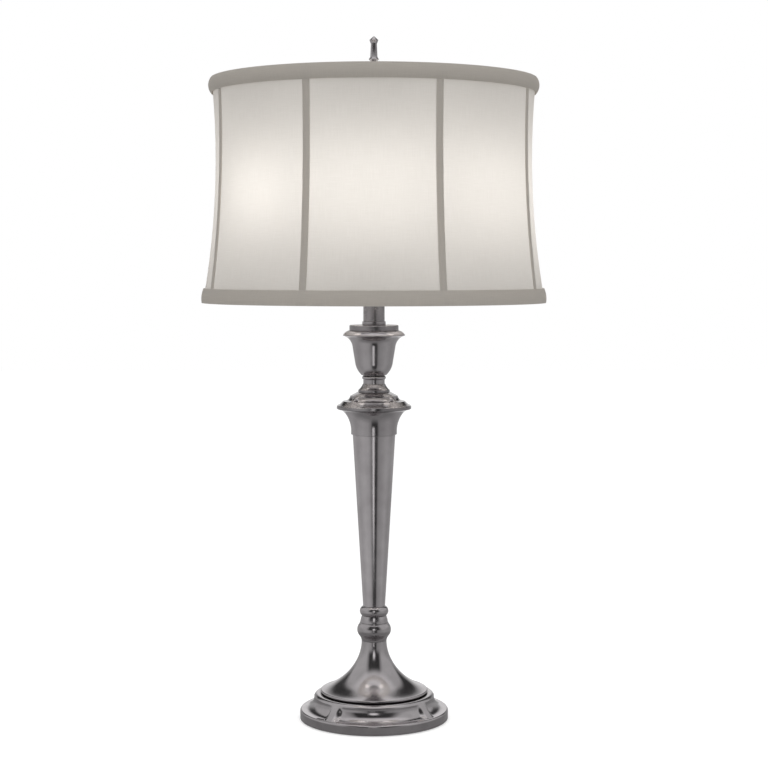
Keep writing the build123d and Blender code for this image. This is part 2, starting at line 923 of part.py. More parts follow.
def edge_trim(edge_z, inward, stand):
    """Rounded trim over a shade's edge. Inward is +1 up from the bottom edge, -1 down from the top."""
    lip_z = edge_z + inward * trim_lip_thickness
    far_z = edge_z + inward * trim_height
    peak_z = edge_z + inward * trim_peak
    edge_r = rib_radius(lip_z) + panel_seam
    far_r = rib_radius(far_z) + panel_seam
    lip_r = edge_r - trim_lip_width
    peak = (rib_radius(peak_z) + stand, peak_z)
    return turned(make_face([
        Line((edge_r, lip_z), (lip_r, lip_z)),
        Line((lip_r, lip_z), (lip_r, edge_z)),
        Line((lip_r, edge_z), (edge_r + trim_edge, edge_z)),
        ThreePointArc((edge_r + trim_edge, edge_z), peak, (far_r + trim_edge, far_z)),
        Line((far_r + trim_edge, far_z), (far_r, far_z)),
        Line((far_r, far_z), (edge_r, lip_z)),
    ]))


def finial_insert():
    return ring(stud_radius + running_clearance, insert_radius, insert_foot, insert_top)


def finial():
    """Round hidden base over the insert, then a many-sided skirt, shaft and pointed head."""
    foot = hub_top + running_clearance
    pocket_top = stud_top + turning_gap
    base_top = pocket_top + finial_cover
    neck_foot = base_top + finial_cove_height
    neck_top = neck_foot + finial_neck_height
    flange_radius = finial_base_radius + finial_foot_flange
    base = turned(outline(
        (0, foot),
        (flange_radius, foot),
        (flange_radius, foot + finial_foot_height),
        (finial_base_radius, base_top, finial_base_bow),
        (finial_neck_radius, neck_foot, finial_base_bow),
        (finial_neck_radius, neck_top),
        (0, neck_top),
    ))
    steps = [
        (0, finial_neck_radius),
        (finial_skirt_rise, finial_skirt_radius),
        (finial_shaft_step, finial_shaft_radius),
        (finial_shaft_height, finial_waist_radius),
        (finial_head_rise, finial_head_radius),
        (finial_tip_rise, finial_tip_radius),
    ]
    sections = []
    z = neck_top
    for rise, radius in steps:
        z += rise
        sections.append(Pos(0, 0, z) * RegularPolygon(radius, finial_sides))
    return base + loft(sections, ruled=True) - ring(0, pocket_radius, foot, pocket_top)


def build():
    """Every piece under its node's name."""
    pieces = {
        "felt_pad": felt_pad(),
        "base_foot": base_foot(),
        "cord_bushing": cord_bushing(),
        "base_weight": base_weight(),
        "bottom_washer": bottom_washer(),
        "bottom_nut": bottom_nut(),
        "centre_pipe": centre_pipe(),
        "base_bell": base_bell(),
        "lower_knob": lower_knob(),
        "knob_collar": knob_collar(),
        "neck_ring": neck_ring(),
        "column": column(),
        "column_collar": column_collar(),
        "upper_disc": upper_disc(),
        "disc_pedestal": disc_pedestal(),
        "cup_neck": cup_neck(),
        "candle_cup": candle_cup(),
        "cup_cover": cup_cover(),
        "check_ring": check_ring(),
        "candle_tube": candle_tube(),
        "tube_cap": tube_cap(),
        "cluster_body": cluster_body(),
        "riser_rod": riser_rod(),
        "riser_seat": riser_seat(),
        "spider": spider(),
        "top_ring": top_ring(),
        "bottom_ring": bottom_ring(),
        "rib_wires": rib_wires(),
        "rib_trims": rib_trims(),
        "top_trim": edge_trim(shade_top, -1, top_trim_stand),
        "bottom_trim": edge_trim(shade_bottom, 1, bottom_trim_stand),
        "finial_insert": finial_insert(),
        "finial": finial(),
    }
    for side, hand in ((-1, "left"), (1, "right")):
        pieces["socket_cap_" + hand] = socket_cap(side)
        pieces["socket_shell_" + hand] = socket_shell(side)
        pieces["socket_liner_" + hand] = socket_liner(side)
        pieces["socket_core_" + hand] = socket_core(side)
        pieces["screw_shell_" + hand] = screw_shell(side)
        pieces["switch_shaft_" + hand] = switch_shaft(side)
        pieces["switch_knob_" + hand] = switch_knob(side)
        pieces["bulb_base_" + hand] = bulb_base(side)
        pieces["bulb_glass_" + hand] = bulb_glass(side)
    for number, angle in enumerate(around(shade_panels), start=1):
        pieces["shade_panel_" + str(number)] = shade_panel(angle)
    return pieces


os.makedirs("parts", exist_ok=True)
for name, piece in build().items():
    copies = piece if isinstance(piece, list) else [piece]
    solids = [solid for copy in copies for solid in copy.solids()]
    export_step(Compound(children=solids), f"parts/{name}.step")
print(len(os.listdir("parts")), "nodes")
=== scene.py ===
import math
import bpy
from mathutils import Euler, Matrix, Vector


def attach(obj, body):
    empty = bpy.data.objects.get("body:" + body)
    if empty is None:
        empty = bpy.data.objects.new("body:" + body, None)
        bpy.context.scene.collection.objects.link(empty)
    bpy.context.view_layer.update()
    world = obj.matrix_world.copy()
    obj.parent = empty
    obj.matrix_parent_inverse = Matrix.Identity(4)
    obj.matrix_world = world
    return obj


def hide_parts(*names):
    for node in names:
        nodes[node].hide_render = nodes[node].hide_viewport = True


# Candlestick lamp: turned pewter stem, two lit bulbs and a panelled fabric shade.
# Sizes in the dictionaries are millimetres and degrees, as in the drawing of the part.
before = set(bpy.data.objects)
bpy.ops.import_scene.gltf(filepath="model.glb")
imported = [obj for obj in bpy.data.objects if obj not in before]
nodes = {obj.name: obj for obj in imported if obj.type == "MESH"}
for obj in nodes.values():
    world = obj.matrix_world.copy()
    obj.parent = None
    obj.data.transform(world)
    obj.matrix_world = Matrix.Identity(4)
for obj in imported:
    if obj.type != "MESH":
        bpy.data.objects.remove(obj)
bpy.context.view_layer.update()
mm = 0.001


# camera
camera = {
    "lens": 83.19,
    "place": (0.0119, -2.1087, 0.54431),
    "tilt": 86.1647,            # 90 looks level
}


def placeCamera():
    data = bpy.data.cameras.new("camera")
    data.lens = camera["lens"]
    data.sensor_width = 36.0
    data.clip_end = 30.0
    eye = bpy.data.objects.new("camera", data)
    eye.location = camera["place"]
    eye.rotation_euler = Euler((math.radians(camera["tilt"]), 0, 0))
    bpy.context.scene.collection.objects.link(eye)
    bpy.context.scene.camera = eye


placeCamera()
print("camera placed")


# modelling helpers
def clearSelection():
    active = bpy.context.view_layer.objects.active
    if active is not None and active.mode != "OBJECT":
        bpy.ops.object.mode_set(mode="OBJECT")
    bpy.ops.object.select_all(action="DESELECT")


def selectOnly(piece):
    clearSelection()
    bpy.context.view_layer.objects.active = piece
    piece.select_set(True)


def cleanMesh(piece, merge=None):
    # near points merged, faces turned outwards
    selectOnly(piece)
    bpy.ops.object.mode_set(mode="EDIT")
    bpy.ops.mesh.select_all(action="SELECT")
    if merge is not None:
        bpy.ops.mesh.remove_doubles(threshold=merge * mm)
    bpy.ops.mesh.normals_make_consistent(inside=False)
    bpy.ops.object.mode_set(mode="OBJECT")


def applyModifier(piece, kind, **settings):
    selectOnly(piece)
    modifier = piece.modifiers.new(kind.lower(), kind)
    for key, value in settings.items():
        setattr(modifier, key, value)
    bpy.ops.object.modifier_apply(modifier=modifier.name)


def softenEdges(piece, width, segments=2, angle=28):
    applyModifier(piece, "BEVEL", width=width * mm, segments=segments, limit_method="ANGLE",
                  angle_limit=math.radians(angle), use_clamp_overlap=True, miter_outer="MITER_SHARP")


def smoothShade(piece, angle=32, weighted=True):
    selectOnly(piece)
    bpy.ops.object.shade_smooth_by_angle(angle=math.radians(angle))
    if weighted:
        applyModifier(piece, "WEIGHTED_NORMAL", keep_sharp=True)


def arcPoints(start, end, rise, steps=8):
    # points after the start of an arc that rises to the left of its chord
    chord = Vector(end) - Vector(start)
    half = chord.length / 2
    radius = (half * half + rise * rise) / (2 * abs(rise))
    left = Vector((-chord.y, chord.x)).normalized() * (1 if rise > 0 else -1)
    centre = Vector(start) + chord / 2 - left * (radius - abs(rise))
    first = math.atan2(start[1] - centre.y, start[0] - centre.x)
    last = math.atan2(end[1] - centre.y, end[0] - centre.x)
    turn = (last - first + math.pi) % (2 * math.pi) - math.pi
    return [(centre.x + radius * math.cos(first + turn * i / steps),
             centre.y + radius * math.sin(first + turn * i / steps)) for i in range(1, steps + 1)]


quarterRise = 0.2929        # rise of a quarter circle's arc, as a share of its radius


def throughPoints(start, middle, end, steps=12):
    # points after the start of a circle through three points
    ax, ay, bx, by, cx, cy = *start, *middle, *end
    d = 2 * (ax * (by - cy) + bx * (cy - ay) + cx * (ay - by))
    aa, bb, cc = ax * ax + ay * ay, bx * bx + by * by, cx * cx + cy * cy
    ux = (aa * (by - cy) + bb * (cy - ay) + cc * (ay - by)) / d
    uy = (aa * (cx - bx) + bb * (ax - cx) + cc * (bx - ax)) / d
    radius = math.hypot(ax - ux, ay - uy)
    first = math.atan2(ay - uy, ax - ux)
    last = math.atan2(cy - uy, cx - ux)
    turn = (last - first + math.pi) % (2 * math.pi) - math.pi
    return [(ux + radius * math.cos(first + turn * i / steps),
             uy + radius * math.sin(first + turn * i / steps)) for i in range(1, steps + 1)]


def curvePoints(start, lead, run, end, steps=28):
    # points after the start of a curve with two handles
    points = []
    for i in range(1, steps + 1):
        t = i / steps
        weights = ((1 - t) ** 3, 3 * t * (1 - t) ** 2, 3 * t * t * (1 - t), t ** 3)
        corners = (start, lead, run, end)
        points.append(tuple(sum(w * c[k] for w, c in zip(weights, corners)) for k in (0, 1)))
    return points


def outline(start, *moves):
    # a move is an end point, with the arc's rise as a third value on a curve, or a list of points
    points = [start]
    for move in moves:
        if isinstance(move, list):
            points += move
        elif len(move) == 3:
            points += arcPoints(points[-1], move[:2], move[2])
        else:
            points.append(move)
    return points


def hoop(inside, outside, low, high):
    return outline((inside, low), (outside, low), (outside, high), (inside, high))


def drawOutline(name, points):
    # one corner of a plane, drawn out along the outline as a chain of edges
    clearSelection()
    bpy.ops.mesh.primitive_plane_add(size=mm)
    piece = bpy.context.active_object
    piece.name = name
    piece.data.name = name
    bpy.ops.object.mode_set(mode="EDIT")
    bpy.ops.mesh.select_mode(type="VERT")
    bpy.ops.mesh.select_all(action="SELECT")
    bpy.ops.mesh.merge(type="CENTER")
    bpy.ops.transform.translate(value=(points[0][0] * mm, 0, points[0][1] * mm))
    for here, there in zip(points, points[1:]):
        step = ((there[0] - here[0]) * mm, 0, (there[1] - here[1]) * mm)
        bpy.ops.mesh.extrude_region_move(TRANSFORM_OT_translate={"value": step})
    return piece


def turnPiece(name, points, steps=128, closed=True, merge=0.004):
    # the outline spun about the lamp's axis
    if closed and points[0][0] > 0:
        points = points + [points[0]]
    piece = drawOutline(name, points)
    bpy.ops.mesh.select_all(action="SELECT")
    bpy.ops.mesh.spin(steps=steps, angle=2 * math.pi, center=(0, 0, 0), axis=(0, 0, 1))
    cleanMesh(piece, merge)
    return piece


def layOutwards(piece, side, height):
    # a piece drawn up the axis is laid along a socket, to the right (+1) or left (-1)
    selectOnly(piece)
    bpy.ops.object.mode_set(mode="EDIT")
    bpy.ops.mesh.select_all(action="SELECT")
    bpy.ops.transform.rotate(value=math.radians(-90 * side), orient_axis="Y", center_override=(0, 0, 0))
    bpy.ops.transform.translate(value=(0, 0, height * mm))
    bpy.ops.object.mode_set(mode="OBJECT")


def cutRound(piece, radius, place, turn, depth):
    # a round hole through one wall
    clearSelection()
    bpy.ops.mesh.primitive_cylinder_add(vertices=48, radius=radius * mm, depth=depth * mm,
                                        location=[v * mm for v in place],
                                        rotation=[math.radians(v) for v in turn])
    cutter = bpy.context.active_object
    applyModifier(piece, "BOOLEAN", object=cutter, operation="DIFFERENCE", solver="EXACT")
    bpy.data.objects.remove(cutter)


def join(pieces, name):
    clearSelection()
    for piece in pieces:
        piece.select_set(True)
    bpy.context.view_layer.objects.active = pieces[0]
    bpy.ops.object.join()
    pieces[0].name = name
    return pieces[0]


def settle(piece, body, slot, material, *stands):
    # material, body and the CAD nodes that the piece stands for; the slot is not used
    piece.data.materials.clear()
    piece.data.materials.append(material)
    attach(piece, body)
    if stands:
        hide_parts(*stands)
    return piece


# material helpers
def newMaterial(name):
    material = bpy.data.materials.new(name)
    material.use_nodes = True
    tree = material.node_tree
    tree.nodes.clear()
    return material, tree


def node(tree, kind, inputs=None, **settings):
    made = tree.nodes.new(kind)
    for key, value in settings.items():
        setattr(made, key, value)
    for key, value in (inputs or {}).items():
        socket = made.inputs[key]
        if isinstance(value, bpy.types.NodeSocket):
            tree.links.new(value, socket)
        else:
            socket.default_value = value
    return made


def calc(tree, operation, first, second=0.0):
    return node(tree, "ShaderNodeMath", {0: first, 1: second}, operation=operation).outputs[0]


def spread(tree, value, low, high, fromLow=0.0, fromHigh=1.0):
    # maps a value onto another range
    return node(tree, "ShaderNodeMapRange", {"Value": value, "From Min": fromLow, "From Max": fromHigh,
                                             "To Min": low, "To Max": high}).outputs["Result"]


def mixColours(tree, factor, first, second, **settings):
    mix = node(tree, "ShaderNodeMix", {"Factor": factor, 6: first, 7: second}, data_type="RGBA", **settings)
    return mix.outputs[2]


def tone(tree, factor, dark, light):
    return mixColours(tree, factor, (*dark, 1), (*light, 1))


def grey(bright):
    return (bright, bright, bright, 1)


def grain(tree, scale, detail=3.0, vector=None):
    # noise on the piece's own coordinates, in lumps per metre
    if vector is None:
        vector = node(tree, "ShaderNodeTexCoord").outputs["Object"]
    mapping = node(tree, "ShaderNodeMapping", {"Vector": vector, "Scale": scale})
    texture = node(tree, "ShaderNodeTexNoise", {"Vector": mapping.outputs[0], "Scale": 1.0,
                                                "Detail": detail, "Roughness": 0.55})
    return texture.outputs["Fac"]


def relief(tree, height, strength, distance):
    bump = node(tree, "ShaderNodeBump", {"Height": height, "Strength": strength, "Distance": distance * mm})
    return bump.outputs["Normal"]


def finishShader(tree, shader):
    node(tree, "ShaderNodeOutputMaterial", {"Surface": shader})


def ownPlace(tree):
    # x, y and z on the piece, in metres
    place = node(tree, "ShaderNodeTexCoord").outputs["Object"]
    return node(tree, "ShaderNodeSeparateXYZ", {0: place}).outputs


def distanceOut(tree, x, y):
    return calc(tree, "SQRT", calc(tree, "ADD", calc(tree, "POWER", x, 2.0), calc(tree, "POWER", y, 2.0)))


def latheVector(tree):
    # radius and height, so that a pattern runs round the lamp's axis
    x, y, z = ownPlace(tree)
    return node(tree, "ShaderNodeCombineXYZ", {0: distanceOut(tree, x, y), 1: z}).outputs[0]


pewter = {
    "dark": (0.42, 0.395, 0.405),
    "light": (0.54, 0.515, 0.525),
    # colour of the crevices: the patina in the hollows, partly painted shade
    "patinaAndShade": (0.075, 0.066, 0.066),
    "patinaAndShadeReach": 5.0,
    "polish": (0.11, 0.2),           # roughness from the shiniest to the dullest spot
    "satin": (0.2, 0.3),
    "brushed": (0.13, 0.2),
    # scale, detail and depth of the fine lines: rings, vertical brushing or plain
    "strokes": {"lathe": ((2600, 2600, 1), 2.0, 0.05), "long": ((1500, 1500, 9), 3.0, 0.2),
                "plain": ((900, 900, 900), 2.0, 0.03)},
}


def makePewter(name, polish, lines, tint=1.0):
    material, tree = newMaterial(name)
    clouds = grain(tree, (28, 28, 28), 4.0)
    colour = tone(tree, spread(tree, clouds, 0.0, 1.0, 0.3, 0.7),
                  [c * tint for c in pewter["dark"]], [c * tint for c in pewter["light"]])
    # darker and rougher where occlusion finds crevices: patina in the hollows, partly painted shade
    crevice = node(tree, "ShaderNodeAmbientOcclusion", {"Distance": pewter["patinaAndShadeReach"] * mm}, samples=6)
    worn = spread(tree, grain(tree, (140, 140, 140), 4.0), 0.75, 1.25)
    creviceShadeMask = spread(tree, calc(tree, "MULTIPLY", crevice.outputs["AO"], worn), 1.0, 0.0, 0.3, 0.78)
    patinatedAndShaded = mixColours(tree, creviceShadeMask, colour, (*pewter["patinaAndShade"], 1))
    scale, detail, depth = pewter["strokes"][lines]
    strokes = grain(tree, scale, detail, latheVector(tree) if lines == "lathe" else None)
    rough = calc(tree, "ADD", spread(tree, clouds, polish[0], polish[1], 0.3, 0.7),
                 spread(tree, strokes, -0.03, 0.05))
    rough = calc(tree, "ADD", rough, calc(tree, "MULTIPLY", creviceShadeMask, 0.25))
    shader = node(tree, "ShaderNodeBsdfPrincipled", {
        "Base Color": patinatedAndShaded, "Metallic": 1.0, "Roughness": rough,
        "Normal": relief(tree, strokes, depth, 0.05)})
    finishShader(tree, shader.outputs[0])
    return material


def makePlain(name, dark, light, metallic, roughness, scale=300, bump=0.15, depth=0.05):
    # small speckled finish for inner parts
    material, tree = newMaterial(name)
    speckle = grain(tree, (scale, scale, scale), 4.0)
    shader = node(tree, "ShaderNodeBsdfPrincipled", {
        "Base Color": tone(tree, speckle, dark, light), "Metallic": metallic,
        "Roughness": spread(tree, speckle, roughness - 0.06, roughness + 0.08),
        "Normal": relief(tree, speckle, bump, depth)})
    finishShader(tree, shader.outputs[0])
    return material


pewterPolished = makePewter("pewter polished", pewter["polish"], "lathe")
pewterCast = makePewter("pewter cast", pewter["polish"], "plain")
# a darker copy of the polished pewter for the pedestal and the upper disc: painted shade, the same metal made
# darker
pewterPaintedShade = makePewter("pewter with painted shade", pewter["polish"], "lathe", 0.75)
pewterBrushed = makePewter("pewter brushed", pewter["brushed"], "long", 1.15)
pewterSatin = makePewter("pewter satin", pewter["satin"], "lathe", 0.8)
feltPile = makePlain("felt", (0.018, 0.018, 0.019), (0.045, 0.045, 0.047), 0.0, 0.92, 2500, 0.7, 0.3)
castIron = makePlain("cast iron", (0.05, 0.05, 0.05), (0.1, 0.1, 0.1), 0.6, 0.6, 700, 0.5, 0.3)
zincSteel = makePlain("zinc plated steel", (0.5, 0.5, 0.48), (0.68, 0.68, 0.66), 1.0, 0.34)
whiteWire = makePlain("white coated wire", (0.74, 0.72, 0.68), (0.84, 0.82, 0.78), 0.0, 0.4)
brassPlain = makePlain("brass", (0.62, 0.46, 0.2), (0.8, 0.63, 0.32), 1.0, 0.28)
phenolic = makePlain("phenolic", (0.025, 0.018, 0.015), (0.05, 0.036, 0.03), 0.0, 0.3)
linerCard = makePlain("liner card", (0.22, 0.16, 0.11), (0.36, 0.27, 0.19), 0.0, 0.85, 900, 0.4, 0.1)
blackPlastic = makePlain("black plastic", (0.015, 0.014, 0.014), (0.03, 0.028, 0.028), 0.0, 0.36, 1200, 0.12)
baseMetal = makePlain("bulb base metal", (0.6, 0.6, 0.61), (0.78, 0.78, 0.79), 1.0, 0.24)
print("metals and plastics made")


# foot
bore = 5.2                  # round the lamp's pipe, in every stacked piece
foot = {
    "radius": 88.9, "rimTop": 10.0, "shelf": 12.6, "shoulder": (72.0, 27.9), "ledge": (65.5, 31.5),
    "shoulderBow": 1.1, "ridgeFoot": (85.4, 12.6), "ridgeBow": 0.9, "shelfRadius": 86.3,
    "hollowFoot": (84.6, 12.65), "hollowBow": 4.0, "ridgeHalf": 2.4, "ridgeWall": 5.2,
    "hollows": 4, "turn": 7.0, "columns": 90, "arcSteps": 18, "merge": 0.05,
    "underside": 1.0, "wall": 3.0, "cavity": 61.5, "cavityTop": 28.5,
    "inlet": 3.6, "inletHeight": 5.5, "inletCut": 12,
}
samePoint = 0.01            # how near a vertex lies to its point of the outline


def pushHollows(piece, shape, ridge, hollow):
    # between the ridges the side is pushed back from the ridge's line onto the hollow's
    sector = 2 * math.pi / shape["hollows"]
    front = math.radians(shape["turn"] - 90)
    edge, wall = sector / 2 - math.radians(shape["ridgeHalf"]), math.radians(shape["ridgeWall"])
    for vertex in piece.data.vertices:
        place = vertex.co / mm
        radius = math.hypot(place.x, place.y)
        for (outR, outZ), (inR, inZ) in zip(ridge, hollow):
            if abs(radius - outR) < samePoint and abs(place.z - outZ) < samePoint:
                angle = math.atan2(place.y, place.x)
                off = abs((angle - front + sector / 2) % sector - sector / 2)
                share = min(max((edge - off) / wall, 0.0), 1.0)
                share = share * share * (3 - 2 * share)
                radius, height = outR + (inR - outR) * share, outZ + (inZ - outZ) * share
                vertex.co = Vector((radius * math.cos(angle), radius * math.sin(angle), height)) * mm
                break


def makeFoot():
    low = foot["shelf"]
    ridge = arcPoints(foot["shoulder"], foot["ridgeFoot"], -foot["ridgeBow"], foot["arcSteps"])[:-1]
    hollow = arcPoints(foot["shoulder"], foot["hollowFoot"], -foot["hollowBow"], foot["arcSteps"])[:-1]
    inside = foot["radius"] - foot["wall"]
    rim = foot["radius"] - foot["shelfRadius"]
    points = outline(
        (bore, foot["cavityTop"]), (bore, foot["ledge"][1]), foot["ledge"],
        (*foot["shoulder"], foot["shoulderBow"]), ridge, foot["ridgeFoot"], (foot["shelfRadius"], low),
        (foot["radius"], foot["rimTop"], rim * quarterRise), (foot["radius"], foot["underside"]),
        (inside, foot["underside"]), (inside, low - foot["wall"]), (foot["cavity"], low - foot["wall"]),
        (foot["cavity"], foot["cavityTop"]))
    piece = turnPiece("footShell", points, foot["hollows"] * foot["columns"])
    pushHollows(piece, foot, ridge, hollow)
    cleanMesh(piece, foot["merge"])
    cutRound(piece, foot["inlet"], (0, foot["radius"], foot["inletHeight"]), (90, 0, 0), foot["inletCut"])
    smoothShade(piece)
    return settle(piece, "stem", "pewter", pewterCast, "base_foot")


makeFoot()
print("foot made")


# turned stem, from the bell up
bell = {"foot": 31.5, "footRadius": 60.0, "edgeFoot": 32.3, "edgeTop": 35.7, "edge": 62.6, "edgeBow": 1.7,
        "neck": 15.0, "top": 94.4, "slope": 20.0, "dishRun": 31.0, "neckRun": 24.0, "curveSteps": 48,
        "turnSteps": 192}
knob = {"coveTop": 101.4, "cove": 18.3, "coveBow": 0.6, "widest": 20.3, "bellyTop": 115.4,
        "band": 17.3, "top": 116.5, "arcSteps": 16}
knobCollar = {"foot": 16.7, "neck": 14.5, "top": 125.0, "bow": 0.35}
neckRing = {"foot": 14.7, "widest": (17.2, 129.6), "head": 13.6, "top": 136.1, "arcSteps": 16}
column = {"foot": 13.2, "head": 25.5, "top": 343.1}
collar = {"band": 27.4, "bandTop": 347.6, "flare": 43.2, "top": 373.2, "lead": 12.0, "run": 8.0}
pedestal = {"foot": 393.5, "band": 18.8, "bandTop": 396.1, "head": 13.4, "top": 403.3, "bow": 0.7}
cupNeck = {"radius": 12.8, "plainTop": 408.4, "beadTop": 412.8, "bead": 1.4, "top": 413.7}
cup = {"foot": 14.9, "bowl": (22.2, 426.9), "bowlBow": 1.1, "waist": (25.4, 446.4), "lip": (36.9, 460.8),
       "flareBow": 2.9, "lipTop": 461.6, "crown": (30.0, 466.7), "crownBow": 1.0}
cover = {"radius": 29.2, "top": 473.2, "round": 0.6}
checkRing = {"inside": 12.8, "outside": 14.0, "top": 477.5}
tube = {"inside": 11.7, "outside": 12.7, "top": 593.9, "capTop": 595.9}


def turned(name, points, material, *stands, edge=0.3, slot="pewter", body="stem", steps=128):
    piece = turnPiece(name, points, steps)
    softenEdges(piece, edge)
    smoothShade(piece)
    return settle(piece, body, slot, material, *stands)


def bored(low, high, *moves):
    # an outline between two heights, open inside for the lamp's pipe
    return outline((bore, low), *moves, (bore, high))


def makeStem():
    slope = math.radians(bell["slope"])
    rimEdge = (bell["edge"], bell["edgeTop"])
    lead = (rimEdge[0] - bell["dishRun"] * math.cos(slope), rimEdge[1] + bell["dishRun"] * math.sin(slope))
    head = (bell["neck"], bell["top"])
    turned("bell", bored(
        bell["foot"], bell["top"], (bell["footRadius"], bell["foot"]), (bell["footRadius"], bell["edgeFoot"]),
        (bell["edge"], bell["edgeFoot"]), (*rimEdge, -bell["edgeBow"]),
        curvePoints(rimEdge, lead, (bell["neck"], bell["top"] - bell["neckRun"]), head, bell["curveSteps"])),
        pewterPolished, "base_bell", steps=bell["turnSteps"])

    cove = (knob["cove"], knob["coveTop"])
    widest = (knob["widest"], (knob["coveTop"] + knob["bellyTop"]) / 2)
    turned("knob", bored(
        bell["top"], knob["top"], head, (*cove, knob["coveBow"]),
        throughPoints(cove, widest, (knob["band"], knob["bellyTop"]), knob["arcSteps"]),
        (knob["band"], knob["top"])), pewterPolished, "lower_knob")
    turned("knobCollar", bored(
        knob["top"], knobCollar["top"], (knobCollar["foot"], knob["top"]),
        (knobCollar["neck"], knobCollar["top"], -knobCollar["bow"])), pewterPolished, "knob_collar")
    ringFoot = (neckRing["foot"], knobCollar["top"])
    ringHead = (neckRing["head"], neckRing["top"])
    turned("neckRing", bored(
        knobCollar["top"], neckRing["top"], ringFoot,
        throughPoints(ringFoot, neckRing["widest"], ringHead, neckRing["arcSteps"])),
        pewterPolished, "neck_ring")

    turned("column", bored(
        neckRing["top"], column["top"], (column["foot"], neckRing["top"]), (column["head"], column["top"])),
        pewterBrushed, "column")
    band = (collar["band"], collar["bandTop"])
    flare = (collar["flare"], collar["top"])
    turned("columnCollar", bored(
        column["top"], collar["top"], (collar["band"], column["top"]), band,
        curvePoints(band, (band[0], band[1] + collar["lead"]), (flare[0] - collar["run"], flare[1]), flare)),
        pewterPolished, "column_collar")

    turned("pedestal", bored(
        pedestal["foot"], pedestal["top"], (pedestal["band"], pedestal["foot"]),
        (pedestal["band"], pedestal["bandTop"]), (pedestal["head"], pedestal["top"], pedestal["bow"])),
        pewterPaintedShade, "disc_pedestal")
    neck = cupNeck["radius"]
    turned("cupNeck", bored(
        pedestal["top"], cupNeck["top"], (neck, pedestal["top"]), (neck, cupNeck["plainTop"]),
        (neck, cupNeck["beadTop"], -cupNeck["bead"]), (neck, cupNeck["top"])),
        pewterPolished, "cup_neck", edge=0.2)
    turned("candleCup", bored(
        cupNeck["top"], cup["crown"][1], (cup["foot"], cupNeck["top"]), (*cup["bowl"], -cup["bowlBow"]),
        cup["waist"], (*cup["lip"], cup["flareBow"]), (cup["lip"][0], cup["lipTop"]),
        (*cup["crown"], -cup["crownBow"])), pewterPolished, "candle_cup", edge=0.25)
    turned("cupCover", bored(
        cup["crown"][1], cover["top"], (cover["radius"], cup["crown"][1]),
        (cover["radius"], cover["top"] - cover["round"]), (cover["radius"] - cover["round"], cover["top"])),
        pewterSatin, "cup_cover", edge=0.2)
    turned("checkRing", hoop(checkRing["inside"], checkRing["outside"], cover["top"], checkRing["top"]),
           pewterPolished, "check_ring", edge=0.25)
    turned("candleTube", hoop(tube["inside"], tube["outside"], cover["top"], tube["top"]),
           pewterSatin, "candle_tube", slot="candle_tube_pewter")
    turned("tubeCap", bored(
        tube["top"], tube["capTop"], (tube["outside"], tube["top"]), (tube["outside"], tube["capTop"])),
        pewterPolished, "tube_cap")


makeStem()
print("stem made")


# upper disc, a small copy of the foot's motif
disc = {
    "foot": 373.2, "radius": 44.4, "round": 0.8, "rimTop": 377.8, "shelf": (41.0, 378.8),
    "ridgeFoot": (36.8, 382.8), "shoulder": (28.2, 389.1), "ridgeBow": 0.15,
    "hollowFoot": (36.2, 382.7), "hollowBow": 1.8, "ridgeHalf": 2.6, "ridgeWall": 6.5,
    "cone": (20.0, 393.5), "hollows": 4, "turn": 0.0, "columns": 60, "arcSteps": 12, "merge": 0.06,
}


def makeDisc():
    ridge = arcPoints(disc["ridgeFoot"], disc["shoulder"], disc["ridgeBow"], disc["arcSteps"])[:-1]
    hollow = arcPoints(disc["hollowFoot"], disc["shoulder"], disc["hollowBow"], disc["arcSteps"])[:-1]
    soft = disc["round"]
    points = bored(
        disc["foot"], disc["cone"][1],
        (disc["radius"] - soft, disc["foot"]), (disc["radius"], disc["foot"] + soft),
        (disc["radius"], disc["rimTop"] - soft), (disc["radius"] - soft, disc["rimTop"]), disc["shelf"],
        disc["ridgeFoot"], ridge, disc["shoulder"], disc["cone"])
    piece = turnPiece("upperDisc", points, disc["hollows"] * disc["columns"])
    pushHollows(piece, disc, ridge, hollow)
    cleanMesh(piece, disc["merge"])
    smoothShade(piece)
    return settle(piece, "stem", "pewter", pewterPaintedShade, "upper_disc")


makeDisc()
print("upper disc made")


# cluster, sockets, switches and riser
sides = ((-1, "left"), (1, "right"))
cluster = {"radius": 14.5, "foot": 595.9, "top": 629.9, "round": 2.5, "axis": 611.9, "arm": 5.0,
           "armStart": 8.0, "armEnd": 24.0}
socket = {
    "capStart": 19.0, "crown": 9.0, "crownEnd": 31.0, "capEnd": 35.5, "capInside": 17.4, "capOutside": 18.2,
    "capBow": 3.0, "capWall": 0.8, "hole": 5.1, "shellStart": 30.5, "shellEnd": 74.5, "shellInside": 16.6,
    "shellOutside": 17.2, "switchPlace": 41.5, "switchHole": 3.4, "switchCut": 10,
}
riser = {"foot": 619.9, "radius": 4.8, "shoulder": 744.9, "stud": 3.1, "studTop": 763.9, "seat": 9.5,
         "seatTop": 747.9, "seatPlay": 0.1, "plain": (4, 1), "threadPitch": 0.94, "threadDepth": 0.3}


def makeCluster():
    flat, soft = cluster["radius"] - cluster["round"], cluster["round"]
    block = turnPiece("clusterBlock", outline(
        (0, cluster["foot"]), (flat, cluster["foot"]),
        (cluster["radius"], cluster["foot"] + soft, -soft * quarterRise),
        (cluster["radius"], cluster["top"] - soft), (flat, cluster["top"], -soft * quarterRise),
        (0, cluster["top"])), 96)
    arms = []
    for side in (1, -1):
        arm = turnPiece("clusterArm", outline(
            (0, cluster["armStart"]), (cluster["arm"], cluster["armStart"]),
            (cluster["arm"], cluster["armEnd"]), (0, cluster["armEnd"])), 48)
        layOutwards(arm, side, cluster["axis"])
        arms.append(arm)
    piece = join([block] + arms, "clusterBody")
    smoothShade(piece)
    settle(piece, "stem", "pewter", pewterSatin, "cluster_body")


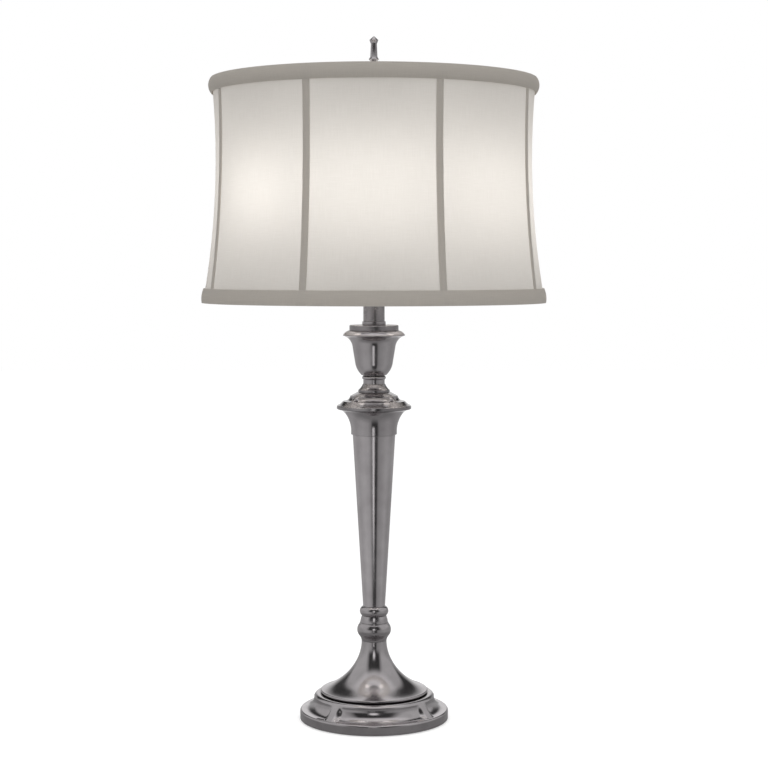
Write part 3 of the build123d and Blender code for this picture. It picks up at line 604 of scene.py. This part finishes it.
def makeSocket(side, hand):
    wall = socket["capWall"]
    capPiece = turnPiece("socketCap." + hand, outline(
        (socket["hole"], socket["capStart"]), (socket["crown"], socket["capStart"]),
        (socket["capOutside"], socket["crownEnd"], -socket["capBow"]),
        (socket["capOutside"], socket["capEnd"]), (socket["capInside"], socket["capEnd"]),
        (socket["capInside"], socket["crownEnd"]),
        (socket["crown"] - wall, socket["capStart"] + wall, socket["capBow"]),
        (socket["hole"], socket["capStart"] + wall)), 96)
    softenEdges(capPiece, 0.15)
    layOutwards(capPiece, side, cluster["axis"])
    smoothShade(capPiece)
    settle(capPiece, "stem", "pewter", pewterSatin, "socket_cap_" + hand)
    shell = turnPiece("socketShell." + hand, hoop(
        socket["shellInside"], socket["shellOutside"], socket["shellStart"], socket["shellEnd"]), 96)
    layOutwards(shell, side, cluster["axis"])
    cutRound(shell, socket["switchHole"],
             (side * socket["switchPlace"], 0, cluster["axis"] - socket["shellOutside"]), (0, 0, 0),
             socket["switchCut"])
    smoothShade(shell)
    settle(shell, "stem", "pewter", pewterSatin, "socket_shell_" + hand)


def makeRiser():
    threads = []
    z = riser["seatTop"] + riser["plain"][0]
    while z < riser["studTop"] - riser["plain"][1]:
        threads += [(riser["stud"], z), (riser["stud"] - riser["threadDepth"], z + riser["threadPitch"] / 2)]
        z += riser["threadPitch"]
    turned("riserRod", outline(
        (0, riser["foot"]), (riser["radius"], riser["foot"]), (riser["radius"], riser["shoulder"]),
        (riser["stud"], riser["shoulder"]), threads, (riser["stud"], riser["studTop"]),
        (0, riser["studTop"])),
        pewterSatin, "riser_rod", edge=0.1, steps=48)
    turned("riserSeat", hoop(
        riser["stud"] + riser["seatPlay"], riser["seat"], riser["shoulder"], riser["seatTop"]),
        pewterSatin, "riser_seat", edge=0.4, steps=64)


makeCluster()
makeRiser()
for side, hand in sides:
    makeSocket(side, hand)
print("cluster, sockets and riser made")


# bulbs
bulb = {
    "tip": 50.8, "contact": 4.6, "contactEnd": 52.2, "threadStart": 55.8, "threadEnd": 73.0, "pitch": 3.629,
    "threadTop": 13.0, "threadRoot": 12.2, "threadBow": 0.8, "glassStart": 76.8, "neck": 13.4,
    "neckEnd": 81.8, "globe": 30.0, "centre": 123.8, "shoulderBow": 1.8,
    "joinAngle": 35.0,          # where the globe begins, back from its widest circle
    "glow": 1.0, "glowColor": (1.0, 0.97, 0.91),
}


def makeBulbGlass():
    material, tree = newMaterial("bulb glass")
    haze = grain(tree, (60, 60, 60), 3.0)
    shader = node(tree, "ShaderNodeBsdfPrincipled", {
        "Base Color": tone(tree, haze, (0.9, 0.88, 0.84), (0.95, 0.93, 0.9)),
        "Roughness": spread(tree, haze, 0.12, 0.22),
        "Emission Color": (*bulb["glowColor"], 1), "Emission Strength": bulb["glow"],
        "Coat Weight": 0.3, "Coat Roughness": 0.05})
    finishShader(tree, shader.outputs[0])
    return material


bulbGlass = makeBulbGlass()


def makeBulb(side, hand):
    ridges = []
    along = bulb["threadStart"]
    while along + bulb["pitch"] < bulb["threadEnd"]:
        ridges += arcPoints((bulb["threadRoot"], along), (bulb["threadRoot"], along + bulb["pitch"]),
                            -bulb["threadBow"], 6)
        along += bulb["pitch"]
    base = turnPiece("bulbBase." + hand, outline(
        (0, bulb["tip"]), (bulb["contact"], bulb["tip"]), (bulb["contact"], bulb["contactEnd"]),
        (bulb["threadRoot"], bulb["threadStart"]), ridges, (bulb["threadTop"], along + bulb["threadBow"]),
        (bulb["threadTop"], bulb["glassStart"]), (0, bulb["glassStart"])), 72)
    softenEdges(base, 0.15)
    layOutwards(base, side, cluster["axis"])
    smoothShade(base)
    settle(base, "bulb_base_" + hand, "bulb_base_metal", baseMetal, "bulb_base_" + hand)
    joinAngle = math.radians(bulb["joinAngle"])
    across = bulb["globe"] * math.cos(joinAngle)
    back = bulb["globe"] * math.sin(joinAngle)
    joinPoint = (across, bulb["centre"] - back)
    tip = (0, bulb["centre"] + bulb["globe"])
    glass = turnPiece("bulbGlass." + hand, outline(
        (0, bulb["glassStart"]), (bulb["neck"], bulb["glassStart"]), (bulb["neck"], bulb["neckEnd"]),
        (*joinPoint, bulb["shoulderBow"]),
        throughPoints(joinPoint, (bulb["globe"], bulb["centre"]), (across, bulb["centre"] + back), 14),
        throughPoints((across, bulb["centre"] + back), (back, bulb["centre"] + across), tip, 12)), 96)
    layOutwards(glass, side, cluster["axis"])
    smoothShade(glass)
    glass.visible_shadow = False
    settle(glass, "bulb_glass_" + hand, "bulb_glass", bulbGlass, "bulb_glass_" + hand)


for side, hand in sides:
    makeBulb(side, hand)
print("bulbs made")


# finial
finial = {
    "foot": 750.96, "flange": 7.6, "flangeTop": 753.96, "base": 6.1, "baseTop": 768.0, "bow": 0.5,
    "neck": 3.6, "neckFoot": 774.9, "neckTop": 783.4, "pocket": 4.56, "pocketTop": 764.2,
    "sides": 6, "steps": ((2.2, 6.2), (2.8, 4.3), (15.2, 3.6), (4.6, 5.3), (4.6, 0.25)),
}


def makeFinial():
    base = turnPiece("finialBase", outline(
        (0, finial["pocketTop"]), (finial["pocket"], finial["pocketTop"]), (finial["pocket"], finial["foot"]),
        (finial["flange"], finial["foot"]), (finial["flange"], finial["flangeTop"]),
        (finial["base"], finial["baseTop"], finial["bow"]),
        (finial["neck"], finial["neckFoot"], finial["bow"]),
        (finial["neck"], finial["neckTop"]), (0, finial["neckTop"])), 72)
    softenEdges(base, 0.25)
    clearSelection()
    bpy.ops.mesh.primitive_circle_add(
        vertices=finial["sides"], radius=finial["neck"] * mm, fill_type="NGON",
        location=(0, 0, finial["neckTop"] * mm), rotation=(0, 0, math.radians(-90)))
    head = bpy.context.active_object
    bpy.ops.object.transform_apply(location=True, rotation=True, scale=True)
    bpy.ops.object.mode_set(mode="EDIT")
    bpy.ops.mesh.select_mode(type="FACE")
    bpy.ops.mesh.select_all(action="SELECT")
    here = finial["neck"]
    for rise, radius in finial["steps"]:
        bpy.ops.mesh.extrude_region_move(TRANSFORM_OT_translate={"value": (0, 0, rise * mm)})
        size = radius / here
        bpy.ops.transform.resize(value=(size, size, 1))
        here = radius
    cleanMesh(head)
    softenEdges(head, 0.18)
    piece = join([base, head], "finialPiece")
    smoothShade(piece, 30)
    settle(piece, "finial", "pewter", pewterPolished, "finial")


makeFinial()
print("finial made")


# shade
shade = {
    "top": 761.9, "bottom": 499.9, "waist": 186.0, "waistHeight": 173.0, "flare": 930.0, "draw": 2.8,
    "panels": 8, "seam": 0.3, "lip": 1.0, "thickness": 0.8, "across": 16, "rows": 44,
    "trimHeight": 17.0, "trimPeak": 6.8, "topStand": 4.3, "bottomStand": 2.6, "trimEdge": 1.2,
    "trimGap": (0.1, 0.05), "trimTuck": (0.1, 0.3), "trimThickness": 0.6, "ribThickness": 0.5,
    "ribWidth": 8.3, "ribStand": 1.2,
    "ribSlope": 2.2, "ribCrown": 0.25, "ribEdge": 0.55,     # fall to its sides, in degrees and millimetres
    "ribBend": 1.01,                    # length along the curve, as a share of its height
    "lipTurn": 3.3,                     # how far an edge tape turns in over the lip
}
# how the threads mix with the slubs, colours, strength and depth of the weave, share of light let through
fabric = {"pitch": 0.9, "threads": 0.35, "dark": (0.63, 0.607, 0.576), "light": (0.69, 0.668, 0.64),
          "bump": (0.25, 0.15), "through": 0.5, "seep": 0.3, "seepColor": (0.95, 0.86, 0.74)}
tape = {"pitch": 1.1, "threads": 0.4, "dark": (0.56, 0.53, 0.488), "light": (0.64, 0.608, 0.565),
        "bump": (0.35, 0.2), "through": 0.4, "wrapRadius": 200.0}
liner = {"dark": (0.33, 0.322, 0.31), "light": (0.4, 0.39, 0.377), "bump": (0.15, 0.08)}


def panelRadius(z):
    off = z - shade["bottom"] - shade["waistHeight"]
    return shade["waist"] + shade["flare"] - math.sqrt(shade["flare"] ** 2 - off ** 2)


def ribRadius(z):
    share = (z - shade["bottom"]) / (shade["top"] - shade["bottom"])
    return panelRadius(z) + shade["draw"] * 4 * share * (1 - share)


def panelAngle(number):
    # panels are numbered from 1 at the front, and a half lies on a rib
    return math.radians(-90 + 360 / shade["panels"] * (number - 1))


def weaveVector(tree, wrapped):
    # across and up in metres: the sheet's own UV, or round the shade for a spun tape
    if not wrapped:
        return node(tree, "ShaderNodeUVMap", uv_map="UVMap").outputs[0]
    x, y, z = ownPlace(tree)
    across = calc(tree, "MULTIPLY", calc(tree, "ARCTAN2", y, x), tape["wrapRadius"] * mm)
    return node(tree, "ShaderNodeCombineXYZ", {0: across, 1: z}).outputs[0]


def weave(tree, wrapped, pitch):
    # crossing threads, with a slub here and there
    vector = weaveVector(tree, wrapped)
    parts = node(tree, "ShaderNodeSeparateXYZ", {0: vector})
    turns = 2 * math.pi / (pitch * mm)
    wobble = grain(tree, (140, 140, 1), 2.0, vector)
    warp = calc(tree, "SINE", calc(tree, "ADD", calc(tree, "MULTIPLY", parts.outputs[0], turns), wobble))
    weft = calc(tree, "SINE", calc(tree, "ADD", calc(tree, "MULTIPLY", parts.outputs[1], turns), wobble))
    cloth = spread(tree, calc(tree, "MULTIPLY", warp, weft), 0.0, 1.0, -1.0, 1.0)
    slubAcross = grain(tree, (45, 1300, 1), 2.0, vector)
    slubUp = grain(tree, (1300, 45, 1), 2.0, vector)
    slub = spread(tree, calc(tree, "ADD", slubAcross, slubUp), 0.0, 1.0, 0.7, 1.3)
    return cloth, slub


def clothShader(tree, look, wrapped):
    cloth, slub = weave(tree, wrapped, look["pitch"])
    mixed = calc(tree, "ADD", calc(tree, "MULTIPLY", cloth, look["threads"]),
                 calc(tree, "MULTIPLY", slub, 1 - look["threads"]))
    colour = tone(tree, mixed, look["dark"], look["light"])
    bump = relief(tree, mixed, *look["bump"])
    outer = node(tree, "ShaderNodeBsdfPrincipled", {
        "Base Color": colour, "Roughness": 0.85, "Specular IOR Level": 0.2, "Sheen Weight": 0.15,
        "Normal": bump})
    glow = node(tree, "ShaderNodeBsdfTranslucent", {"Color": colour, "Normal": bump})
    both = node(tree, "ShaderNodeMixShader", {0: look["through"], 1: outer.outputs[0], 2: glow.outputs[0]})
    return both.outputs[0]


def makeFabric():
    # a little of the light goes straight through, to the floor and the stem
    material, tree = newMaterial("shade fabric")
    cloth = clothShader(tree, fabric, False)
    clear = node(tree, "ShaderNodeBsdfTransparent", {"Color": (*fabric["seepColor"], 1)})
    shadowRay = node(tree, "ShaderNodeLightPath").outputs["Is Shadow Ray"]
    seep = calc(tree, "MULTIPLY", shadowRay, fabric["seep"])
    shader = node(tree, "ShaderNodeMixShader", {0: seep, 1: cloth, 2: clear.outputs[0]})
    finishShader(tree, shader.outputs[0])
    return material


def makeLiner():
    # inside of the sheet: light from the bulbs passes it to reach the fabric
    material, tree = newMaterial("shade liner")
    cloth, slub = weave(tree, False, fabric["pitch"])
    inner = node(tree, "ShaderNodeBsdfPrincipled", {
        "Base Color": tone(tree, slub, liner["dark"], liner["light"]), "Roughness": 0.6,
        "Normal": relief(tree, cloth, *liner["bump"])})
    clear = node(tree, "ShaderNodeBsdfTransparent")
    passing = node(tree, "ShaderNodeLightPath").outputs["Is Shadow Ray"]
    shader = node(tree, "ShaderNodeMixShader", {0: passing, 1: inner.outputs[0], 2: clear.outputs[0]})
    finishShader(tree, shader.outputs[0])
    return material


def makeTape(name, wrapped):
    material, tree = newMaterial(name)
    finishShader(tree, clothShader(tree, tape, wrapped))
    return material


shadeFabric = makeFabric()
shadeLiner = makeLiner()
tapeRound = makeTape("edge tape", True)
tapeRib = makeTape("rib tape", False)


def sheetGrid(name, across, rows, placeAt, width, length):
    # a grid laid onto a surface, its UV in metres of cloth
    clearSelection()
    bpy.ops.mesh.primitive_grid_add(x_subdivisions=across, y_subdivisions=rows, size=1)
    piece = bpy.context.active_object
    piece.name = name
    for vertex in piece.data.vertices:
        vertex.co = Vector(placeAt(vertex.co.x + 0.5, vertex.co.y + 0.5)) * mm
    for corner in piece.data.uv_layers[0].data:
        corner.uv = (corner.uv[0] * width * mm, corner.uv[1] * length * mm)
    return piece


def aroundLamp(angle, out, along, z):
    # a point given by its distance out and along, on a side that faces the angle
    return (out * math.cos(angle) - along * math.sin(angle),
            out * math.sin(angle) + along * math.cos(angle), z)


def panelPoint(angle, z, share):
    # share runs from 0 at one seam to 1 at the other
    outer, middle = ribRadius(z), panelRadius(z)
    half = math.pi / shade["panels"] - shade["seam"] / 2 / outer
    side, deep = outer * math.sin(half), outer * math.cos(half)
    rise = middle - deep
    radius = (side * side + rise * rise) / (2 * rise)
    turn = math.asin(side / radius) * (2 * share - 1)
    out, along = middle - radius + radius * math.cos(turn), radius * math.sin(turn)
    return aroundLamp(angle, out, along, z)


def clothSize(low, high, widthAt, steps=40):
    # widest width, length along the curve and area of a cut, in millimetres
    length, area, widest = 0.0, 0.0, 0.0
    for i in range(steps):
        a, b = low + (high - low) * i / steps, low + (high - low) * (i + 1) / steps
        step = math.hypot(b - a, panelRadius(b) - panelRadius(a))
        length += step
        area += step * widthAt((a + b) / 2)
        widest = max(widest, widthAt(a), widthAt(b))
    return widest, length, area


def panelWidth(z):
    outer, middle = ribRadius(z), panelRadius(z)
    half = math.pi / shade["panels"] - shade["seam"] / 2 / outer
    side, rise = outer * math.sin(half), middle - outer * math.cos(half)
    radius = (side * side + rise * rise) / (2 * rise)
    return 2 * radius * math.asin(side / radius)


def makePanel(number):
    angle = panelAngle(number)
    low, high = shade["bottom"] + shade["lip"], shade["top"] - shade["lip"]
    widest, length, area = clothSize(low, high, panelWidth)
    piece = sheetGrid("shadePanel.%d" % number, shade["across"], shade["rows"],
                      lambda u, v: panelPoint(angle, low + (high - low) * v, u), widest, length)
    piece.data.materials.clear()
    piece.data.materials.append(shadeFabric)
    piece.data.materials.append(shadeLiner)
    applyModifier(piece, "SOLIDIFY", thickness=shade["thickness"] * mm, offset=-1.0,
                  material_offset=1, material_offset_rim=0, use_even_offset=True)
    selectOnly(piece)
    bpy.ops.object.shade_smooth_by_angle(angle=math.radians(40))
    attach(piece, "shade")
    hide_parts("shade_panel_%d" % number)


def tapeOutline(edgeZ, inward, stand):
    lipZ = edgeZ + inward * shade["lip"]
    farZ = edgeZ + inward * shade["trimHeight"]
    peakZ = edgeZ + inward * shade["trimPeak"]
    edgeR, farR = ribRadius(lipZ) + shade["seam"], ribRadius(farZ) + shade["seam"]
    lipR = edgeR - shade["lipTurn"]
    lipGap, startGap = shade["trimGap"]
    tuckOut, tuckUp = shade["trimTuck"]
    start = (edgeR + shade["trimEdge"], edgeZ + inward * startGap)
    peak = (ribRadius(peakZ) + stand, peakZ)
    far = (farR + shade["trimEdge"], farZ)
    return outline((lipR, edgeZ + inward * lipGap), start, throughPoints(start, peak, far, 14),
                   (farR + tuckOut, farZ - inward * tuckUp))


def makeTrim(name, edgeZ, inward, stand, stands):
    points = tapeOutline(edgeZ, inward, stand)
    piece = turnPiece(name, points, 192, closed=False)
    # the spun tape isn't closed, so its outer side is looked for
    middle = max(piece.data.polygons, key=lambda face: math.hypot(face.center.x, face.center.y))
    if middle.normal.dot(Vector((middle.center.x, middle.center.y, 0))) < 0:
        piece.data.flip_normals()
    applyModifier(piece, "SOLIDIFY", thickness=shade["trimThickness"] * mm, offset=-1.0, use_even_offset=True)
    smoothShade(piece, 45, weighted=False)
    settle(piece, "shade", "trim_fabric", tapeRound, stands)


def makeRibs():
    low = shade["bottom"] + shade["trimHeight"] + shade["seam"]
    high = shade["top"] - shade["trimHeight"] - shade["seam"]
    half = shade["ribWidth"] / 2
    strips = []
    for number in range(1, shade["panels"] + 1):
        angle = panelAngle(number + 0.5)

        def strip(u, v):
            z = low + (high - low) * v
            along = (2 * u - 1) * half
            fall = abs(along) * math.tan(math.radians(shade["ribSlope"]))
            fall += shade["ribEdge"] * (abs(along) / half) ** 4
            fall += shade["ribCrown"] * (along / half) ** 2
            return aroundLamp(angle, ribRadius(z) + shade["seam"] / 2 + shade["ribStand"] - fall, along, z)

        strips.append(sheetGrid("ribStrip", 8, shade["rows"], strip, shade["ribWidth"], high - low))
    piece = join(strips, "ribTrims")
    applyModifier(piece, "SOLIDIFY", thickness=shade["ribThickness"] * mm, offset=-1.0, use_even_offset=True)
    smoothShade(piece, 45, weighted=False)
    settle(piece, "shade", "trim_fabric", tapeRib, "rib_trims")


for number in range(1, shade["panels"] + 1):
    makePanel(number)
makeTrim("topTrim", shade["top"], -1, shade["topStand"], "top_trim")
makeTrim("bottomTrim", shade["bottom"], 1, shade["bottomStand"], "bottom_trim")
makeRibs()
print("shade made")


# CAD nodes that stay, with their finishes
kept = {
    "felt_pad": feltPile, "cord_bushing": blackPlastic, "base_weight": castIron, "bottom_washer": zincSteel,
    "bottom_nut": zincSteel, "centre_pipe": zincSteel, "spider": whiteWire, "top_ring": whiteWire,
    "bottom_ring": whiteWire, "rib_wires": whiteWire, "finial_insert": brassPlain,
}
for side, hand in sides:
    kept["socket_liner_" + hand] = linerCard
    kept["socket_core_" + hand] = phenolic
    kept["screw_shell_" + hand] = brassPlain
    kept["switch_shaft_" + hand] = brassPlain
    kept["switch_knob_" + hand] = blackPlastic
for name, material in kept.items():
    for materialSlot in nodes[name].material_slots:
        materialSlot.material = material
print("kept nodes dressed")


# floor, world and lamps
studio = {
    # angle from the camera's side, right positive, and how bright the room is there
    "low": ((-180, 0.9), (-168, 0.8), (-163, 0.42), (-130, 0.5), (-100, 0.46), (-60, 0.56), (-30, 0.5),
            (-14, 0.3), (-9, 0.05), (16, 0.04), (26, 0.34), (75, 0.48), (110, 0.4), (150, 0.42), (163, 0.4),
            (168, 0.8), (180, 0.9)),
    "high": ((-180, 0.95), (-166, 0.9), (-158, 0.05), (-143, 0.05), (-134, 0.6), (-60, 0.6), (-44, 0.3),
             (-36, 0.04), (36, 0.04), (46, 0.3), (60, 0.6), (134, 0.6), (143, 0.05), (158, 0.05), (166, 0.9),
             (180, 0.95)),
    "wallsMeet": (0.12, 0.32),         # where the high ring takes over, and where the ceiling does
    "ceilingMeets": (0.8, 0.93),
    "ceiling": 0.95,
    # narrow lights towards the camera: angle, half width, soft edge and brightness
    "floorStrip": (-2.5, 6.0, 1.0, 1.0),
    "floorStripStart": (0.6, 0.9),     # how far from the lamp it begins
    "wallStrip": (-0.5, 9.5, 4.0, 1.3),
    "wallStripEnd": (0.42, 0.58),      # how high it ends
    "nearFloor": 0.27,                 # brightness close to the lamp, and where it fades
    "nearFade": (0.2, 0.45),
    "fill": 0.73,                      # soft light on matte surfaces, with more from the front and above
    "fillFront": 0.4,
    "fillTop": 0.15,
    "floorTone": 0.7,
    "floorGlow": 0.5,
    "floorSize": 14,
    "floorHeight": -0.0002,
}
lamps = {
    "height": 0.622, "around": 0.132, "radius": 0.026, "power": 0.252, "middlePower": 0.292,
    "middles": (1, 5),                 # the front panel and the back one, furthest from the bulbs
    "color": (1.0, 0.985, 0.962),
}


def angleAround(tree, across, towards):
    # angle from the camera's side, right positive
    return calc(tree, "ARCTAN2", across, calc(tree, "MULTIPLY", towards, -1.0))


def studioRing(tree, across, towards, stopsRound):
    # brightness of the room by the angle round the lamp
    share = spread(tree, angleAround(tree, across, towards), 0.0, 1.0, -math.pi, math.pi)
    ramp = node(tree, "ShaderNodeValToRGB", {"Fac": share})
    stops = ramp.color_ramp.elements
    for index, (degrees, bright) in enumerate(stopsRound):
        at = (degrees + 180) / 360
        stop = stops[index] if index < 2 else stops.new(at)
        stop.position = at
        stop.color = grey(bright)
    return ramp.outputs[0]


def studioStrip(tree, across, towards, strip):
    middle, half, edge, bright = strip
    off = calc(tree, "SUBTRACT", angleAround(tree, across, towards), math.radians(middle))
    off = calc(tree, "ABSOLUTE", off)
    return spread(tree, off, bright, 0.0, math.radians(half - edge), math.radians(half))


def backdropRay(tree, path):
    return calc(tree, "MAXIMUM", path.outputs["Is Camera Ray"], path.outputs["Is Transmission Ray"])


def makeWorld():
    world = bpy.data.worlds.new("studio")
    bpy.context.scene.world = world
    world.use_nodes = True
    tree = world.node_tree
    tree.nodes.clear()
    direction = node(tree, "ShaderNodeTexCoord").outputs["Generated"]
    x, y, z = node(tree, "ShaderNodeSeparateXYZ", {0: direction}).outputs
    low = studioRing(tree, x, y, studio["low"])
    high = studioRing(tree, x, y, studio["high"])
    strip = calc(tree, "MULTIPLY", studioStrip(tree, x, y, studio["wallStrip"]),
                 spread(tree, z, 1.0, 0.0, *studio["wallStripEnd"]))
    high = mixColours(tree, 1.0, high, strip, blend_type="ADD")
    walls = mixColours(tree, spread(tree, z, 0.0, 1.0, *studio["wallsMeet"]), low, high)
    ceiling = spread(tree, z, 0.0, 1.0, *studio["ceilingMeets"])
    room = mixColours(tree, ceiling, walls, grey(studio["ceiling"]))
    front = calc(tree, "MULTIPLY", y, -studio["fill"] * studio["fillFront"])
    above = calc(tree, "MULTIPLY", z, studio["fill"] * studio["fillTop"])
    soft = calc(tree, "ADD", calc(tree, "ADD", front, above), studio["fill"])
    path = node(tree, "ShaderNodeLightPath")
    seen = mixColours(tree, path.outputs["Is Glossy Ray"], soft, room)
    colour = mixColours(tree, backdropRay(tree, path), seen, grey(1.0))
    background = node(tree, "ShaderNodeBackground", {"Color": colour, "Strength": 1.0})
    node(tree, "ShaderNodeOutputWorld", {"Surface": background.outputs[0]})


def makeFloor():
    clearSelection()
    bpy.ops.mesh.primitive_plane_add(size=studio["floorSize"])
    floor = bpy.context.active_object
    floor.name = "floor"
    floor.location.z = studio["floorHeight"]
    material, tree = newMaterial("pale floor")
    path = node(tree, "ShaderNodeLightPath")
    matte = node(tree, "ShaderNodeBsdfDiffuse", {"Color": grey(studio["floorTone"])})
    glow = node(tree, "ShaderNodeEmission", {
        "Color": grey(1.0), "Strength": calc(tree, "MULTIPLY", backdropRay(tree, path), studio["floorGlow"])})
    lit = node(tree, "ShaderNodeAddShader", {0: matte.outputs[0], 1: glow.outputs[0]})
    x, y, _ = ownPlace(tree)
    away = distanceOut(tree, x, y)
    strip = calc(tree, "MULTIPLY", studioStrip(tree, x, y, studio["floorStrip"]),
                 spread(tree, away, 0.0, 1.0, *studio["floorStripStart"]))
    far = mixColours(tree, strip, studioRing(tree, x, y, studio["low"]), grey(1.0))
    fade = spread(tree, away, 0.0, 1.0, *studio["nearFade"])
    mirrored = node(tree, "ShaderNodeEmission", {
        "Color": mixColours(tree, fade, grey(studio["nearFloor"]), far)})
    top = node(tree, "ShaderNodeMixShader", {0: path.outputs["Is Glossy Ray"], 1: lit.outputs[0],
                                             2: mirrored.outputs[0]})
    below = node(tree, "ShaderNodeBsdfTransparent")          # the underside of the lamp can be looked at
    under = node(tree, "ShaderNodeNewGeometry").outputs["Backfacing"]
    shader = node(tree, "ShaderNodeMixShader", {0: under, 1: top.outputs[0], 2: below.outputs[0]})
    finishShader(tree, shader.outputs[0])
    floor.data.materials.append(material)


def makeShadeLight(number):
    # one light behind the middle of each panel, 3 and 7 in the place of the bulbs
    data = bpy.data.lights.new("shade light %d" % number, "POINT")
    data.energy = lamps["middlePower"] if number in lamps["middles"] else lamps["power"]
    data.color = lamps["color"]
    data.shadow_soft_size = lamps["radius"]
    light = bpy.data.objects.new(data.name, data)
    angle = panelAngle(number)
    light.location = (lamps["around"] * math.cos(angle), lamps["around"] * math.sin(angle), lamps["height"])
    light.visible_camera = False
    light.visible_glossy = False
    bpy.context.scene.collection.objects.link(light)


makeWorld()
makeFloor()
for number in range(1, shade["panels"] + 1):
    makeShadeLight(number)
print("studio lit")

bpy.context.scene.view_settings.view_transform = "Standard"
